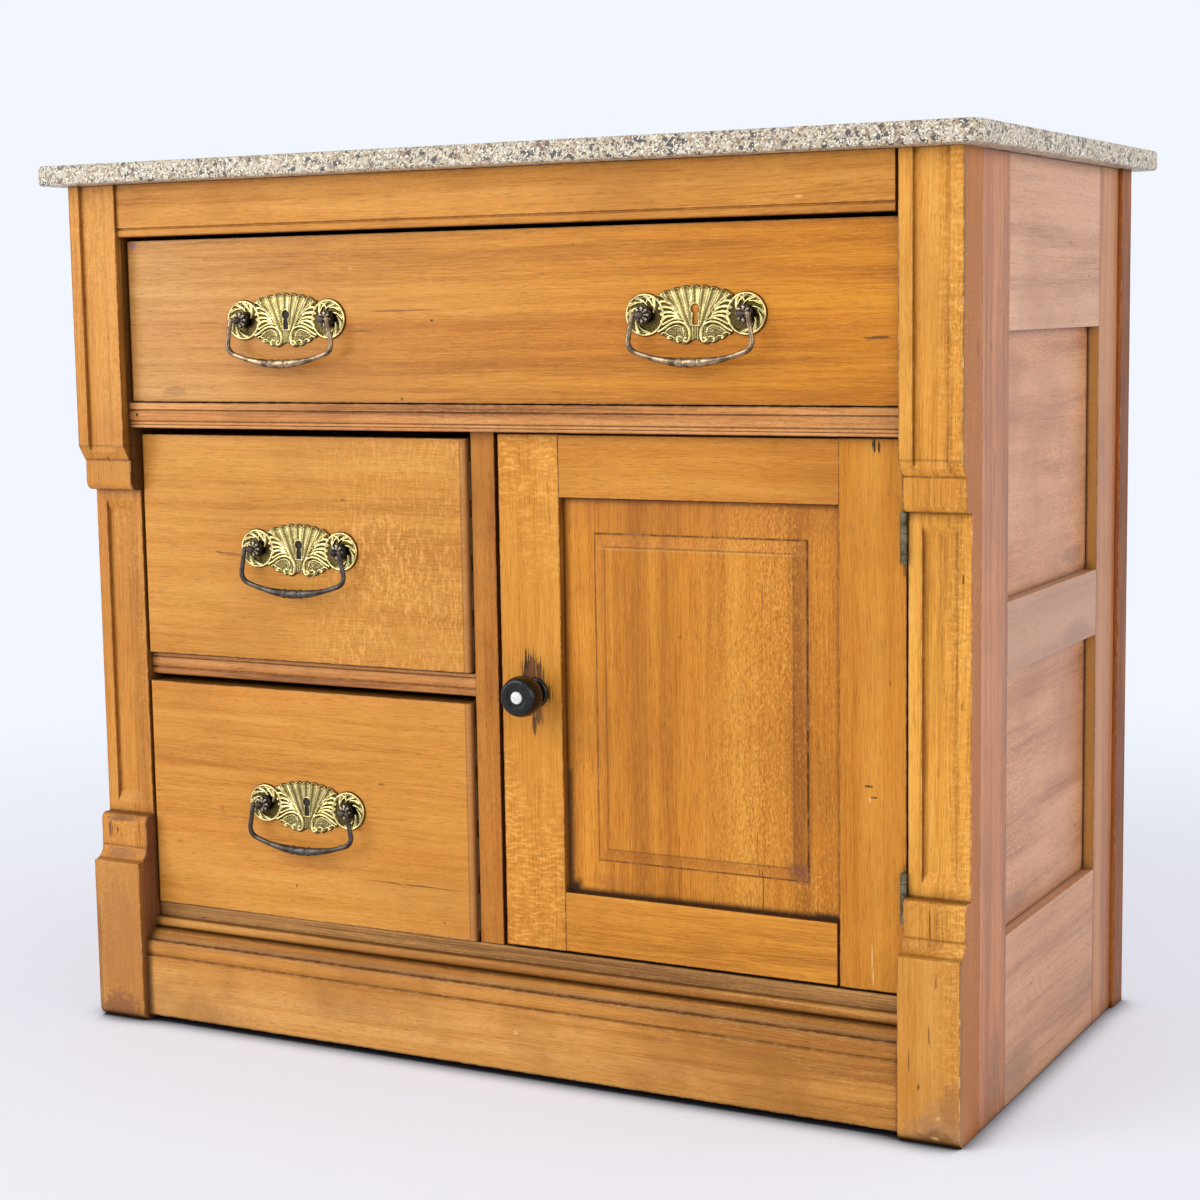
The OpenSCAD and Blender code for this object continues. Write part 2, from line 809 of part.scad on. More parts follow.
module front_stile() {
    difference() {
        block([side_x, half_w], [side_front, stile_edge], [0, case_h]);
        side_groove(stile_edge - groove_d, stile_edge + over, -over, case_h + over);
    }
}

module back_stile() {
    difference() {
        block([side_x, half_w], [back_edge, side_back], [0, case_h]);
        side_groove(back_edge - over, back_edge + groove_d, -over, case_h + over);
    }
}

module side_rail(z0, z1, groove_low, groove_top) {
    difference() {
        union() {
            block([side_x, half_w], [stile_edge, back_edge], [z0, z1]);
            side_groove(stile_edge - tongue_in, back_edge + tongue_in, z0, z1);
        }
        if (groove_low) side_groove(stile_edge - groove_d, back_edge + groove_d, z0 - over, z0 + groove_d);
        if (groove_top) side_groove(stile_edge - groove_d, back_edge + groove_d, z1 - groove_d, z1 + over);
    }
}

module side_rails() {
    side_rail(case_h - side_top_h, case_h, true, false);
    side_rail(side_mid_z, side_mid_z + side_mid_h, true, true);
    side_rail(0, side_low_h, false, true);
}

module side_panels() {
    y0 = stile_edge - tongue_in;
    y1 = back_edge + tongue_in;
    side_groove(y0, y1, side_mid_z + side_mid_h - tongue_in, case_h - side_top_h + tongue_in);
    side_groove(y0, y1, side_low_h - tongue_in, side_mid_z + tongue_in);
}

module right_front_stile() { color(wood_dark) placed() front_stile(); }
module left_front_stile() { color(wood_dark) placed() mirror([1, 0, 0]) front_stile(); }
module right_back_stile() { color(wood_dark) placed() back_stile(); }
module left_back_stile() { color(wood_dark) placed() mirror([1, 0, 0]) back_stile(); }
module right_side_rails() { color(wood_dark) placed() side_rails(); }
module left_side_rails() { color(wood_dark) placed() mirror([1, 0, 0]) side_rails(); }
module right_side_panels() { color(wood) placed() side_panels(); }
module left_side_panels() { color(wood) placed() mirror([1, 0, 0]) side_panels(); }

// Back

module back_strips() {
    color(wood_dark) placed() right_and_left() difference() {
        block([strip_x, strip_x + strip_w], [strip_y, case_d], [0, case_h]);
        block([strip_x - over, side_x + back_lap], [board_y, case_d + over], [back_lift, case_h + over]);
    }
}

module back_boards() {
    board_h = (case_h - back_lift - back_gap * (back_count - 1)) / back_count;
    edge = side_x + back_lap;
    color(wood_inside) placed() for (i = [0 : back_count - 1]) {
        z = back_lift + i * (board_h + back_gap);
        block([-edge, edge], [board_y, case_d], [z, z + board_h]);
    }
}

module back_top_rail() {
    color(wood_inside) placed()
        block([-strip_x, strip_x], [board_y - back_rail_t, board_y], [case_h - back_rail_h, case_h]);
}

// Inside

module dust_blank() {
    block([-side_x, side_x], [waist_back - rebate_d, board_y], [dust_z, dust_z + dust_t]);
}

module floor_blank() {
    block([-post_x, post_x], [base_back - rebate_d, base_back], [base_h - floor_t, base_h]);
    block([-side_x, side_x], [base_back, board_y], [base_h - floor_t, base_h]);
}

// Leaves out the corner strips, which stand in front of the back boards
module strip_space() {
    right_and_left() block([strip_x, half_w + strip_w], [strip_y, case_d], [-over, case_h + over]);
}

module dust_board() {
    color(wood_inside) placed() difference() {
        dust_blank();
        strip_space();
    }
}

module cupboard_floor() {
    color(wood_inside) placed() difference() {
        floor_blank();
        strip_space();
    }
}

module partition() {
    color(wood_inside) placed() difference() {
        along_x(partition_x, partition_right, [[stile_back, base_h], [board_y, base_h],
            [board_y, dust_z], [waist_back, dust_z], [waist_back, waist_z], [stile_back, waist_z]]);
        block([partition_x - over, partition_right + over],
            [stile_back - over, tongue_y + tongue_t + notch_back],
            [knob_z - notch_low - notch_play, knob_z + tongue_w / 2 + notch_play]);
    }
}

// A runner under a drawer side with its guide, from the wall at x0 inwards
module runner(wall_x, inward, drawer_x, low_z, top_z, y0) {
    guide_x = drawer_x - inward * guide_gap;
    reach = wall_x + inward * runner_w;
    if (top_z > low_z)
        block([min(wall_x, reach), max(wall_x, reach)], [y0, strip_y], [low_z, top_z]);
    block([min(wall_x, guide_x), max(wall_x, guide_x)], [y0, strip_y], [top_z, top_z + guide_h]);
}

module drawer_runners() {
    rail_back = drawer_rail_in + drawer_rail_d;
    color(wood_inside) placed() {
        runner(-side_x, 1, top_drawer[0], dust_z + dust_t, waist_top, waist_back);
        runner(side_x, -1, top_drawer[1], dust_z + dust_t, waist_top, waist_back);
        runner(-side_x, 1, upper_drawer[0], rail_top - runner_t, rail_top, rail_back);
        small_runner(rail_top - runner_t, rail_top, rail_back);
        runner(-side_x, 1, lower_drawer[0], base_h, base_h, base_back);
        small_runner(base_h, base_h, base_back);
    }
}

// The runners on the partition reach under the short drawers' right sides
module small_runner(low_z, top_z, y0) {
    guide_x = upper_drawer[1] + guide_gap;
    if (top_z > low_z)
        block([partition_x - runner_w / 2, partition_x], [y0, strip_y], [low_z, top_z]);
    block([guide_x, partition_x], [y0, strip_y], [top_z, top_z + guide_h]);
}

module drawer_stop(x, z) {
    block([x, x + stop_w], [stop_y, strip_y], [z, z + guide_h]);
}

module stop_blocks() {
    left = -post_x + end_gap - guide_gap;
    small_right = upper_drawer[1] + guide_gap;
    stop_x = [field_x, field_x + door_stop_w];
    stop_front = door_back + run_gap;
    color(wood_inside) placed() {
        drawer_stop(left, waist_top);
        drawer_stop(-left - stop_w, waist_top);
        for (z = [rail_top, base_h]) {
            drawer_stop(left, z);
            drawer_stop(small_right - stop_w, z);
        }
        block(stop_x, [stop_front, stop_front + door_stop_h], [base_h, base_h + door_stop_h]);
        block(stop_x, [stop_front, waist_back], [waist_z - door_stop_h, waist_z]);
    }
}

// Drawers

module drawer_bottom(d) {
    block([d[0] + drawer_side_t - bottom_groove, d[1] - drawer_side_t + bottom_groove],
        [d[2] + front_t - bottom_groove, drawer_end],
        [d[5] + bottom_lift, d[5] + bottom_lift + drawer_bottom_t]);
}

// Side in elevation, with its dovetails reaching into the front
function side_pts(d) =
    let (top = d[4] - side_drop, y = d[2] + front_t, pitch = (top - d[5]) / tail_count,
        base = pitch * tail_base)
    concat([[drawer_end, d[5]], [y, d[5]]],
        [for (i = [0 : tail_count - 1], p = [[y, -base], [d[2] + lap, -base - tail_flare],
            [d[2] + lap, base + tail_flare], [y, base]]) [p[0], d[5] + pitch * (i + 0.5) + p[1]]],
        [[y, top], [drawer_end, top]]);

module side_blanks(d) {
    along_x(d[0], d[0] + drawer_side_t, side_pts(d));
    along_x(d[1] - drawer_side_t, d[1], side_pts(d));
}

module drawer_sides(d) {
    difference() {
        side_blanks(d);
        drawer_bottom(d);
    }
}

module drawer_back(d) {
    block([d[0] + drawer_side_t, d[1] - drawer_side_t], [drawer_end - drawer_side_t, drawer_end],
        [d[5] + bottom_lift + drawer_bottom_t, d[4] - side_drop]);
}

module drawer_front(d, pulls) {
    back = d[2] + front_t;
    r = front_round;
    mid_z = (d[3] + d[4]) / 2;
    difference() {
        translate([0, 0, d[3]]) linear_extrude(d[4] - d[3]) polygon(concat(
            arc_pts([d[0] + r, d[2] + r], r, 180, 270), arc_pts([d[1] - r, d[2] + r], r, 270, 360),
            [[d[1], back], [d[0], back]]));
        side_blanks(d);
        drawer_bottom(d);
        for (x = pulls, s = [-1, 1])
            rod_y(x + s * post_half, d[2] - over, back + over, mid_z, shank_r + pin_play);
    }
}

// Drawer pulls, drawn about the middle of the line through their posts

// Scalloped upper edge of the fan, and lower edge of the scrolls with its notch
function fan_top(x) = fan_side_h + (fan_h - fan_side_h) * (1 - pow(x / fan_half, 2))
    - scallop_d * (1 - abs(cos(90 * fan_count * x / fan_half)));
function scroll_low(x) = fan_low + (fan_low + scroll_h) * -sin(min(scroll_turn * (1 - x / fan_half), 90))
    + scroll_notch * max(1 - notch_slope * x / fan_half, 0);

function plate_half() = concat(
    [for (i = [0 : fan_n]) let (x = fan_half * i / fan_n) [x, fan_top(x)]],
    arc_pts([post_half, 0], lobe_r, lobe_from, lobe_to, lobe_n),
    [for (i = [0 : scroll_n]) let (x = fan_half * (1 - i / scroll_n)) [x, scroll_low(x)]]);

module plate_outline() {
    right = plate_half();
    polygon(concat(right, [for (i = [len(right) - 2 : -1 : 1]) [-right[i][0], right[i][1]]]));
}

module keyhole() {
    translate([0, keyhole_l / 2 - keyhole_r]) circle(r = keyhole_r);
    translate([-keyhole_r / 2, -keyhole_l / 2]) square([keyhole_r, keyhole_l - keyhole_r]);
}

module pull_plate() {
    rotate([90, 0, 0]) linear_extrude(plate_t) difference() {
        plate_outline();
        keyhole();
        for (s = [-1, 1]) translate([s * post_half, 0]) circle(r = shank_r + pin_play);
    }
}

// Post with a rosette and a bored ball, and the nut behind the drawer front
module pull_posts() {
    for (s = [-1, 1]) translate([s * post_half, 0, 0]) {
        difference() {
            union() {
                rod_y(0, -plate_t, front_t + nut_t + thread_end, 0, shank_r);
                rod_y(0, -plate_t - plate_gap, -plate_t, 0, shank_r + post_collar);
                rod_y(0, -plate_t - plate_gap - rosette_t, -plate_t - plate_gap, 0, rosette_r);
                rod_y(0, -bail_out, -plate_t - plate_gap, 0, shank_r);
                translate([0, -bail_out, 0]) rotate([0, 90, 0]) sphere(r = ball_r);
            }
            mirror([s < 0 ? 1 : 0, 0, 0]) rod_x(0, ball_r + over, -bail_out, 0, pivot_r + bail_play);
        }
        difference() {
            rod_y(0, front_t, front_t + nut_t, 0, nut_r);
            rod_y(0, front_t - over, front_t + nut_t + over, 0, shank_r + pin_play);
        }
    }
}

// A corner of a bail with its arm and pivot
module bail_arm() {
    corner = [bow_x - bail_corner * sin(bail_bow), bow_z + bail_corner * cos(bail_bow)];
    translate([corner[0], 0, corner[1]]) rotate([90, 0, 0]) rotate([0, 0, bail_bow - 90])
        rotate_extrude(angle = corner_turn - bail_bow) translate([bail_corner, 0]) circle(r = eye_r);
    arm_z = corner[1] - bail_corner * cos(corner_turn);
    translate([arm_x, 0, 0]) rotate([0, 180 - bail_lean, 0])
        cylinder(h = bail_merge - arm_z / cos(bail_lean), r = wire_r);
    translate([arm_x, 0, 0]) rotate([0, 90, 0]) sphere(r = eye_r);
    rod_x(post_half + pivot_end, arm_x, 0, 0, pivot_r);
}

// The bowed lower bar, which ends just inside the corners
module bail_bar() {
    turn = bail_bow + atan(bail_merge / bow_r);
    translate([0, 0, bow_r - bail_drop]) rotate([90, 0, 0]) rotate([0, 0, -90 - turn])
        rotate_extrude(angle = 2 * turn) translate([bow_r, 0]) circle(r = wire_r);
}

// Half profile of the swelling at the middle of the lower bar, up to its collar
function grip_half() =
    let (taper = swell_l - collar_zone, thin = wire_r - grip_thin)
    concat([for (i = [0 : grip_n]) [thin + (swell_r - thin) * sin(90 * i / grip_n), taper * i / grip_n]],
        [[swell_r + collar_rise, swell_l - collar_out], [swell_r + collar_rise, swell_l - collar_in]]);

module bail_grip() {
    half = grip_half();
    translate([-swell_l, 0, -bail_drop]) rotate([0, 90, 0]) rotate_extrude() polygon(concat(
        [[0, 0]], half, [[swell_r - collar_dip, swell_l]],
        [for (i = [len(half) - 1 : -1 : 0]) [half[i][0], 2 * swell_l - half[i][1]]],
        [[0, 2 * swell_l]]));
}

module bail() {
    translate([0, -bail_out, 0]) {
        bail_bar();
        bail_arm();
        mirror([1, 0, 0]) bail_arm();
        bail_grip();
    }
}

function small_mid() = [(upper_drawer[0] + upper_drawer[1]) / 2];

// Moves a pull to its place on a drawer front
module pull_at(d, x) {
    translate([x, d[2], (d[3] + d[4]) / 2]) children();
}

module top_pull(s) { pull_at(top_drawer, s * pull_x) children(); }
module small_pull(d) { pull_at(d, small_mid()[0]) children(); }

module top_drawer_front() { color(wood) placed() drawer_front(top_drawer, [-pull_x, pull_x]); }
module top_drawer_sides() { color(wood_inside) placed() drawer_sides(top_drawer); }
module top_drawer_back() { color(wood_inside) placed() drawer_back(top_drawer); }
module top_drawer_bottom() { color(wood_inside) placed() drawer_bottom(top_drawer); }

module top_pull_plates() {
    color(brass) placed() for (s = [-1, 1]) top_pull(s) pull_plate();
}

module top_pull_posts() {
    color(iron) placed() for (s = [-1, 1]) top_pull(s) pull_posts();
}

module top_left_bail() { color(bail_copper) placed() top_pull(-1) bail(); }
module top_right_bail() { color(bail_copper) placed() top_pull(1) bail(); }

module upper_drawer_front() { color(wood) placed() drawer_front(upper_drawer, small_mid()); }
module upper_drawer_sides() { color(wood_inside) placed() drawer_sides(upper_drawer); }
module upper_drawer_back() { color(wood_inside) placed() drawer_back(upper_drawer); }
module upper_drawer_bottom() { color(wood_inside) placed() drawer_bottom(upper_drawer); }
module upper_pull_plate() { color(brass) placed() small_pull(upper_drawer) pull_plate(); }
module upper_pull_posts() { color(iron) placed() small_pull(upper_drawer) pull_posts(); }
module upper_bail() { color(iron) placed() small_pull(upper_drawer) bail(); }

module lower_drawer_front() { color(wood) placed() drawer_front(lower_drawer, small_mid()); }
module lower_drawer_sides() { color(wood_inside) placed() drawer_sides(lower_drawer); }
module lower_drawer_back() { color(wood_inside) placed() drawer_back(lower_drawer); }
module lower_drawer_bottom() { color(wood_inside) placed() drawer_bottom(lower_drawer); }
module lower_pull_plate() { color(brass) placed() small_pull(lower_drawer) pull_plate(); }
module lower_pull_posts() { color(iron) placed() small_pull(lower_drawer) pull_posts(); }
module lower_bail() { color(iron) placed() small_pull(lower_drawer) bail(); }

// Door

module door_groove() {
    block([field_x - door_groove_d, field_right + door_groove_d], [border_y, border_back],
        [field_z - door_groove_d, field_top + door_groove_d]);
}

module stile_groove(x0, x1) {
    block([x0, x1], [border_y, border_back], [door_z - over, door_top + over]);
}

module door_lock_stile() {
    color(wood) placed() difference() {
        block([door_x, field_x], [door_in, door_back], [door_z, door_top]);
        stile_groove(field_x - door_groove_d, field_x + over);
        rod_y(knob_x, door_in - over, door_back + over, knob_z, spindle_r + pin_play);
    }
}

module door_hinge_stile() {
    color(wood) placed() difference() {
        block([field_right, door_right], [door_in, door_back], [door_z, door_top]);
        stile_groove(field_right - over, field_right + door_groove_d);
        for (z = hinge_zs)
            block([door_leaf_x, door_right + over], [door_in - over, leaf_back], [z, z + hinge_l]);
        door_screw_set();
    }
}

module door_rails() {
    x0 = field_x - door_tongue;
    x1 = field_right + door_tongue;
    color(wood) placed() difference() {
        union() {
            block([field_x, field_right], [door_in, door_back], [field_top, door_top]);
            block([field_x, field_right - door_shoulder], [door_in, door_back], [door_z, field_z]);
            block([x0, x1], [border_y, border_back], [field_top, door_top]);
            block([x0, x1], [border_y, border_back], [door_z, field_z]);
        }
        door_groove();
    }
}

// Section of the raised field between two outer lines, rooted in the border
function field_pts(a, b) =
    let (root = border_y + field_root, low = border_y - quirk, rise = field_rise - quirk)
    concat([[a, root]],
        [for (i = [0 : cove_n]) [a + cove_w * i / cove_n, low - rise * (1 - cos(90 * i / cove_n))]],
        [for (i = [cove_n : -1 : 0]) [b - cove_w * i / cove_n, low - rise * (1 - cos(90 * i / cove_n))]],
        [[b, root]]);

module door_panel() {
    x0 = field_x + border_w;
    x1 = field_right - border_w;
    z0 = field_z + border_w;
    z1 = field_top - border_w;
    color(wood) placed() {
        block([field_x - door_tongue, field_right + door_tongue], [border_y, border_back],
            [field_z - door_tongue, field_top + door_tongue]);
        intersection() {
            translate([0, 0, z0]) linear_extrude(z1 - z0) polygon(field_pts(x0, x1));
            along_x(x0, x1, [for (p = field_pts(z0, z1)) [p[1], p[0]]]);
        }
    }
}

// Hinges

module knuckle_set(z, first, bore) {
    for (i = [first : 2 : knuckles - 1]) difference() {
        rod_z(hinge_x, hinge_y, z + i * knuckle_l + run_gap / 2, z + (i + 1) * knuckle_l - run_gap / 2,
            barrel_r);
        rod_z(hinge_x, hinge_y, z - over, z + hinge_l + over, bore);
    }
}

// A leaf with tabs that reach to its own knuckles, clear of the bore
module leaf(x, z, first) {
    clear_y = hinge_y + barrel_r + run_gap;
    block([x, x + leaf_t], [clear_y, leaf_back], [z, z + hinge_l]);
    for (i = [first : 2 : knuckles - 1])
        block([x, x + leaf_t], [hinge_y + pin_r + leaf_clear, clear_y],
            [z + i * knuckle_l + run_gap / 2, z + (i + 1) * knuckle_l - run_gap / 2]);
}

// One countersunk screw along x, with its head at x and its point towards inward
module screw(x, inward, z) {
    translate([x, screw_ys, z]) rotate([0, 90 * inward, 0]) rotate_extrude()
        polygon([[0, 0], [screw_head, 0], [screw_r, screw_head - screw_r],
            [screw_r, screw_l - screw_tip], [0, screw_l]]);
}

module frame_screw_set() {
    for (z = hinge_zs, i = [-1 : 1]) screw(frame_leaf_x, 1, z + hinge_l / 2 + i * screw_pitch);
}

module door_screw_set() {
    for (z = hinge_zs, i = [-1 : 1]) screw(door_right, -1, z + hinge_l / 2 + i * screw_pitch);
}

module hinge_frame_leaves() {
    color(iron) placed() difference() {
        for (z = hinge_zs) {
            leaf(frame_leaf_x, z, 0);
            knuckle_set(z, 0, pin_r);
        }
        frame_screw_set();
    }
}

module hinge_door_leaves() {
    color(iron) placed() difference() {
        for (z = hinge_zs) {
            leaf(door_leaf_x, z, 1);
            knuckle_set(z, 1, pin_r + pin_play);
        }
        door_screw_set();
    }
}

module hinge_pins() {
    color(iron) placed() for (z = hinge_zs) {
        rod_z(hinge_x, hinge_y, z, z + hinge_l, pin_r);
        rod_z(hinge_x, hinge_y, z + hinge_l - run_gap / 2, z + hinge_l + pin_cap, pin_r + pin_head);
    }
}

module frame_screws() { color(iron) placed() frame_screw_set(); }
module door_screws() { color(iron) placed() door_screw_set(); }

// Knob and latch, turned about an axis along y

module on_knob_axis() {
    translate([knob_x, door_in, knob_z]) rotate([90, 0, 0]) children();
}

module knob_rose() {
    color(ebony) placed() on_knob_axis() rotate_extrude()
        polygon([[spindle_r + pin_play, 0], [rose_r, 0], [rose_r, rose_t / 2],
            [rose_r - rose_edge, rose_t - rose_edge / 2], [flange_r, rose_t],
            [spindle_r + pin_play, rose_t]]);
}

module door_knob() {
    neck = rose_t + run_gap;
    lower = knob_belly - neck - neck_l;
    color(ebony) placed() on_knob_axis() difference() {
        rotate_extrude() polygon(concat([[0, neck], [flange_r, neck], [flange_r, neck + flange],
            [neck_r, neck + 2 * flange]],
            [for (i = [0 : knob_n]) let (a = 90 * i / knob_n)
                [neck_r + (knob_r - neck_r) * sin(a), knob_belly - lower * cos(a)]],
            [for (i = [1 : knob_n]) let (a = 90 * i / knob_n)
                [knob_face_r + (knob_r - knob_face_r) * cos(a),
                knob_belly + (knob_out - knob_belly) * sin(a)]],
            [[recess_r, knob_out], [recess_r, knob_out - recess_d], [0, knob_out - recess_d]]));
        cylinder(h = neck + socket_d, r = spindle_r);
    }
}

module knob_stud() {
    color(bone) placed() on_knob_axis() translate([0, 0, knob_out - recess_d]) rotate_extrude()
        polygon(concat([[0, 0], [stud_r, 0]],
            [for (i = [0 : stud_n]) let (a = 90 * i / stud_n)
                [stud_r * cos(a), stud_edge + recess_d * sin(a)]]));
}

module door_latch() {
    color(iron) placed() {
        rod_y(knob_x, door_in - rose_t - run_gap - socket_d, tongue_y, knob_z, spindle_r);
        rod_y(knob_x, tongue_y, tongue_y + tongue_t, knob_z, tongue_w / 2);
        block([knob_x - tongue_w / 2, knob_x + tongue_w / 2], [tongue_y, tongue_y + tongue_t],
            [knob_z - tongue_l, knob_z]);
    }
}

stone_top();
left_front_post();
right_front_post();
left_front_stile();
right_front_stile();
left_back_stile();
right_back_stile();
left_side_rails();
right_side_rails();
left_side_panels();
right_side_panels();
frieze_rail();
waist_rail();
drawer_rail();
centre_stile();
base_rail();
plinth_board();
partition();
dust_board();
cupboard_floor();
back_boards();
back_strips();
back_top_rail();
drawer_runners();
stop_blocks();
hinge_frame_leaves();
hinge_pins();
frame_screws();
top_drawer_front();
top_drawer_sides();
top_drawer_back();
top_drawer_bottom();
top_pull_plates();
top_pull_posts();
top_left_bail();
top_right_bail();
upper_drawer_front();
upper_drawer_sides();
upper_drawer_back();
upper_drawer_bottom();
upper_pull_plate();
upper_pull_posts();
upper_bail();
lower_drawer_front();
lower_drawer_sides();
lower_drawer_back();
lower_drawer_bottom();
lower_pull_plate();
lower_pull_posts();
lower_bail();
door_lock_stile();
door_hinge_stile();
door_rails();
door_panel();
hinge_door_leaves();
door_screws();
knob_rose();
door_knob();
knob_stud();
door_latch();
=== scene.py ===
"""Looks of the washstand commode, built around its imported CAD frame. Blender units are metres."""

import math
from collections import namedtuple

import bmesh
import bpy
import numpy as np
from mathutils import Matrix, Vector


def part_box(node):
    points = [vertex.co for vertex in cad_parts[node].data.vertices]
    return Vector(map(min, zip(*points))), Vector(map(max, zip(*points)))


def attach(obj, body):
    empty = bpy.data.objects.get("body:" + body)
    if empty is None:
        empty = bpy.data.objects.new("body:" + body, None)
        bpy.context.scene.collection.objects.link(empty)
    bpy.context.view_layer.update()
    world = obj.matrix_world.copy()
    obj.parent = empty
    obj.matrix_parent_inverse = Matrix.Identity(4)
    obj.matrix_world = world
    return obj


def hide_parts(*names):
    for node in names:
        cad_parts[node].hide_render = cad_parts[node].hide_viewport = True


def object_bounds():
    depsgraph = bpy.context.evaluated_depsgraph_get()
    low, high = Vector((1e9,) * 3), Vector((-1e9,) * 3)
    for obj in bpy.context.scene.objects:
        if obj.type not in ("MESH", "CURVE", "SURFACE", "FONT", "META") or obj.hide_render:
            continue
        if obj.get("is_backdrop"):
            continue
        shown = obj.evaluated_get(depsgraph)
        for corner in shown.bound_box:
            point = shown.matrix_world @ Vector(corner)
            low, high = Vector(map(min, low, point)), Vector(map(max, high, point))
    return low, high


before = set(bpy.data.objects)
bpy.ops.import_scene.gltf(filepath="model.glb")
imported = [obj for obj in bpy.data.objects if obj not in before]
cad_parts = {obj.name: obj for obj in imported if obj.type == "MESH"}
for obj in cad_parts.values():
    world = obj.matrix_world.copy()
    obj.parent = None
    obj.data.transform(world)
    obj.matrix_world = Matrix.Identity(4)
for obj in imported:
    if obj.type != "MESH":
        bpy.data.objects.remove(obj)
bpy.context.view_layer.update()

MM = 0.001

# Camera, as fitted to the case's edges in the 1200 x 1200 photograph

CAMERA_AT = Vector((0.86175, -1.63881, 0.55984))
CAMERA_FORWARD = Vector((-0.46450556, 0.87692408, -0.12344529))
CAMERA_ROLL = math.radians(-0.886)
CAMERA_LENS = 70.76
SENSOR = 36.0


def make_camera():
    data = bpy.data.cameras.new("camera")
    data.sensor_width = SENSOR
    data.sensor_fit = "HORIZONTAL"
    data.lens = CAMERA_LENS
    data.clip_end = 100.0
    camera = bpy.data.objects.new("camera", data)
    bpy.context.scene.collection.objects.link(camera)
    level = CAMERA_FORWARD.cross(Vector((0, 0, 1))).normalized()
    upward = level.cross(CAMERA_FORWARD).normalized()
    right = math.cos(CAMERA_ROLL) * level + math.sin(CAMERA_ROLL) * upward
    up = right.cross(CAMERA_FORWARD).normalized()
    turn = Matrix((right, up, -CAMERA_FORWARD.normalized())).transposed()
    camera.matrix_world = Matrix.Translation(CAMERA_AT) @ turn.to_4x4()
    bpy.context.scene.camera = camera


make_camera()

# Materials


class Graph:
    """A node material under construction. Values, sockets and nodes can be given to any input."""

    def __init__(self, name):
        self.material = bpy.data.materials.new(name)
        self.material.use_nodes = True
        self.tree = self.material.node_tree
        self.tree.nodes.clear()

    def put(self, socket, value):
        if isinstance(value, bpy.types.Node):
            value = value.outputs[0]
        if isinstance(value, bpy.types.NodeSocket):
            self.tree.links.new(value, socket)
        elif hasattr(value, "__len__") and len(value) == 3 and socket.type == "RGBA":
            socket.default_value = (*value, 1.0)
        else:
            socket.default_value = value

    def add(self, kind, inputs, **settings):
        node = self.tree.nodes.new("ShaderNode" + kind)
        for key, value in settings.items():
            setattr(node, key, value)
        for key, value in inputs.items():
            self.put(node.inputs[key], value)
        return node

    def calc(self, operation, a, b=0.0, c=0.0):
        return self.add("Math", {0: a, 1: b, 2: c}, operation=operation)

    def times(self, a, b):
        return self.calc("MULTIPLY", a, b)

    def plus(self, a, b):
        return self.calc("ADD", a, b)

    def swing(self, value, amount):
        """amount times how far value lies from 0.5, the middle of a noise."""
        return self.times(self.plus(value, -0.5), amount)

    def place(self):
        return self.add("TexCoord", {}).outputs["Object"]

    def moved(self, vector, shift):
        return self.add("VectorMath", {0: vector, 1: shift}, operation="ADD")

    def span(self, value, low, high, to_low=0.0, to_high=1.0):
        """value from low..high to to_low..to_high, smoothly and clamped."""
        ins = {0: value, 1: low, 2: high, 3: to_low, 4: to_high}
        return self.add("MapRange", ins, interpolation_type="SMOOTHSTEP")

    def scaled(self, vector, scale, shift=(0, 0, 0)):
        return self.add("Mapping", {"Vector": vector, "Scale": scale, "Location": shift})

    def noise(self, vector, scale=1.0, detail=2.0, rough=0.5):
        ins = {"Vector": vector, "Scale": scale, "Detail": detail, "Roughness": rough}
        return self.add("TexNoise", ins)

    def cells(self, vector, scale=1.0):
        return self.add("TexVoronoi", {"Vector": vector, "Scale": scale})

    def blend(self, share, a, b, mode="MIX"):
        node = self.tree.nodes.new("ShaderNodeMix")
        node.data_type = "RGBA"
        node.blend_type = mode
        self.put(node.inputs[0], share)
        self.put(node.inputs[6], a)
        self.put(node.inputs[7], b)
        return node.outputs[2]

    def ramp(self, value, stops):
        node = self.add("ValToRGB", {0: value})
        marks = node.color_ramp.elements
        while len(marks) < len(stops):
            marks.new(0.5)
        for mark, (place, colour) in zip(marks, stops):
            mark.position = place
            mark.color = (*colour, 1.0)
        return node

    def bump(self, height, distance, strength):
        return self.add("Bump", {"Height": height, "Distance": distance, "Strength": strength})

    def near(self, place, centre, reach):
        """1 at centre, falling to 0 at the ellipsoid with half axes reach, all in metres."""
        scale = [1 / r for r in reach]
        shift = [-c / r for c, r in zip(centre, reach)]
        length = self.add("VectorMath", {0: self.scaled(place, scale, shift)}, operation="LENGTH")
        return self.span(length.outputs["Value"], 1.0, 0.0)

    def beyond(self, place, low, high, axes):
        """How far a place lies outside the box from low to high, along the given axes."""
        parts = self.add("SeparateXYZ", {0: place})
        far = None
        for i in axes:
            off = self.calc("ABSOLUTE", self.plus(parts.outputs[i], -(low[i] + high[i]) / 2))
            off = self.plus(off, -(high[i] - low[i]) / 2)
            far = off if far is None else self.calc("MAXIMUM", far, off)
        return far

    def inside(self, place, low, high, soft):
        """1 inside the box from low to high, 0 outside it, over a soft edge."""
        return self.span(self.beyond(place, low, high, (0, 1, 2)), soft, -soft)

    def finish(self, **inputs):
        shader = self.add("BsdfPrincipled", {key.replace("_", " "): value for key, value in inputs.items()})
        out = self.add("OutputMaterial", {"Surface": shader})
        out.is_active_output = True
        return self.material


# Woods: light, middle and dark tone of each

Tones = namedtuple("Tones", "light middle dark")

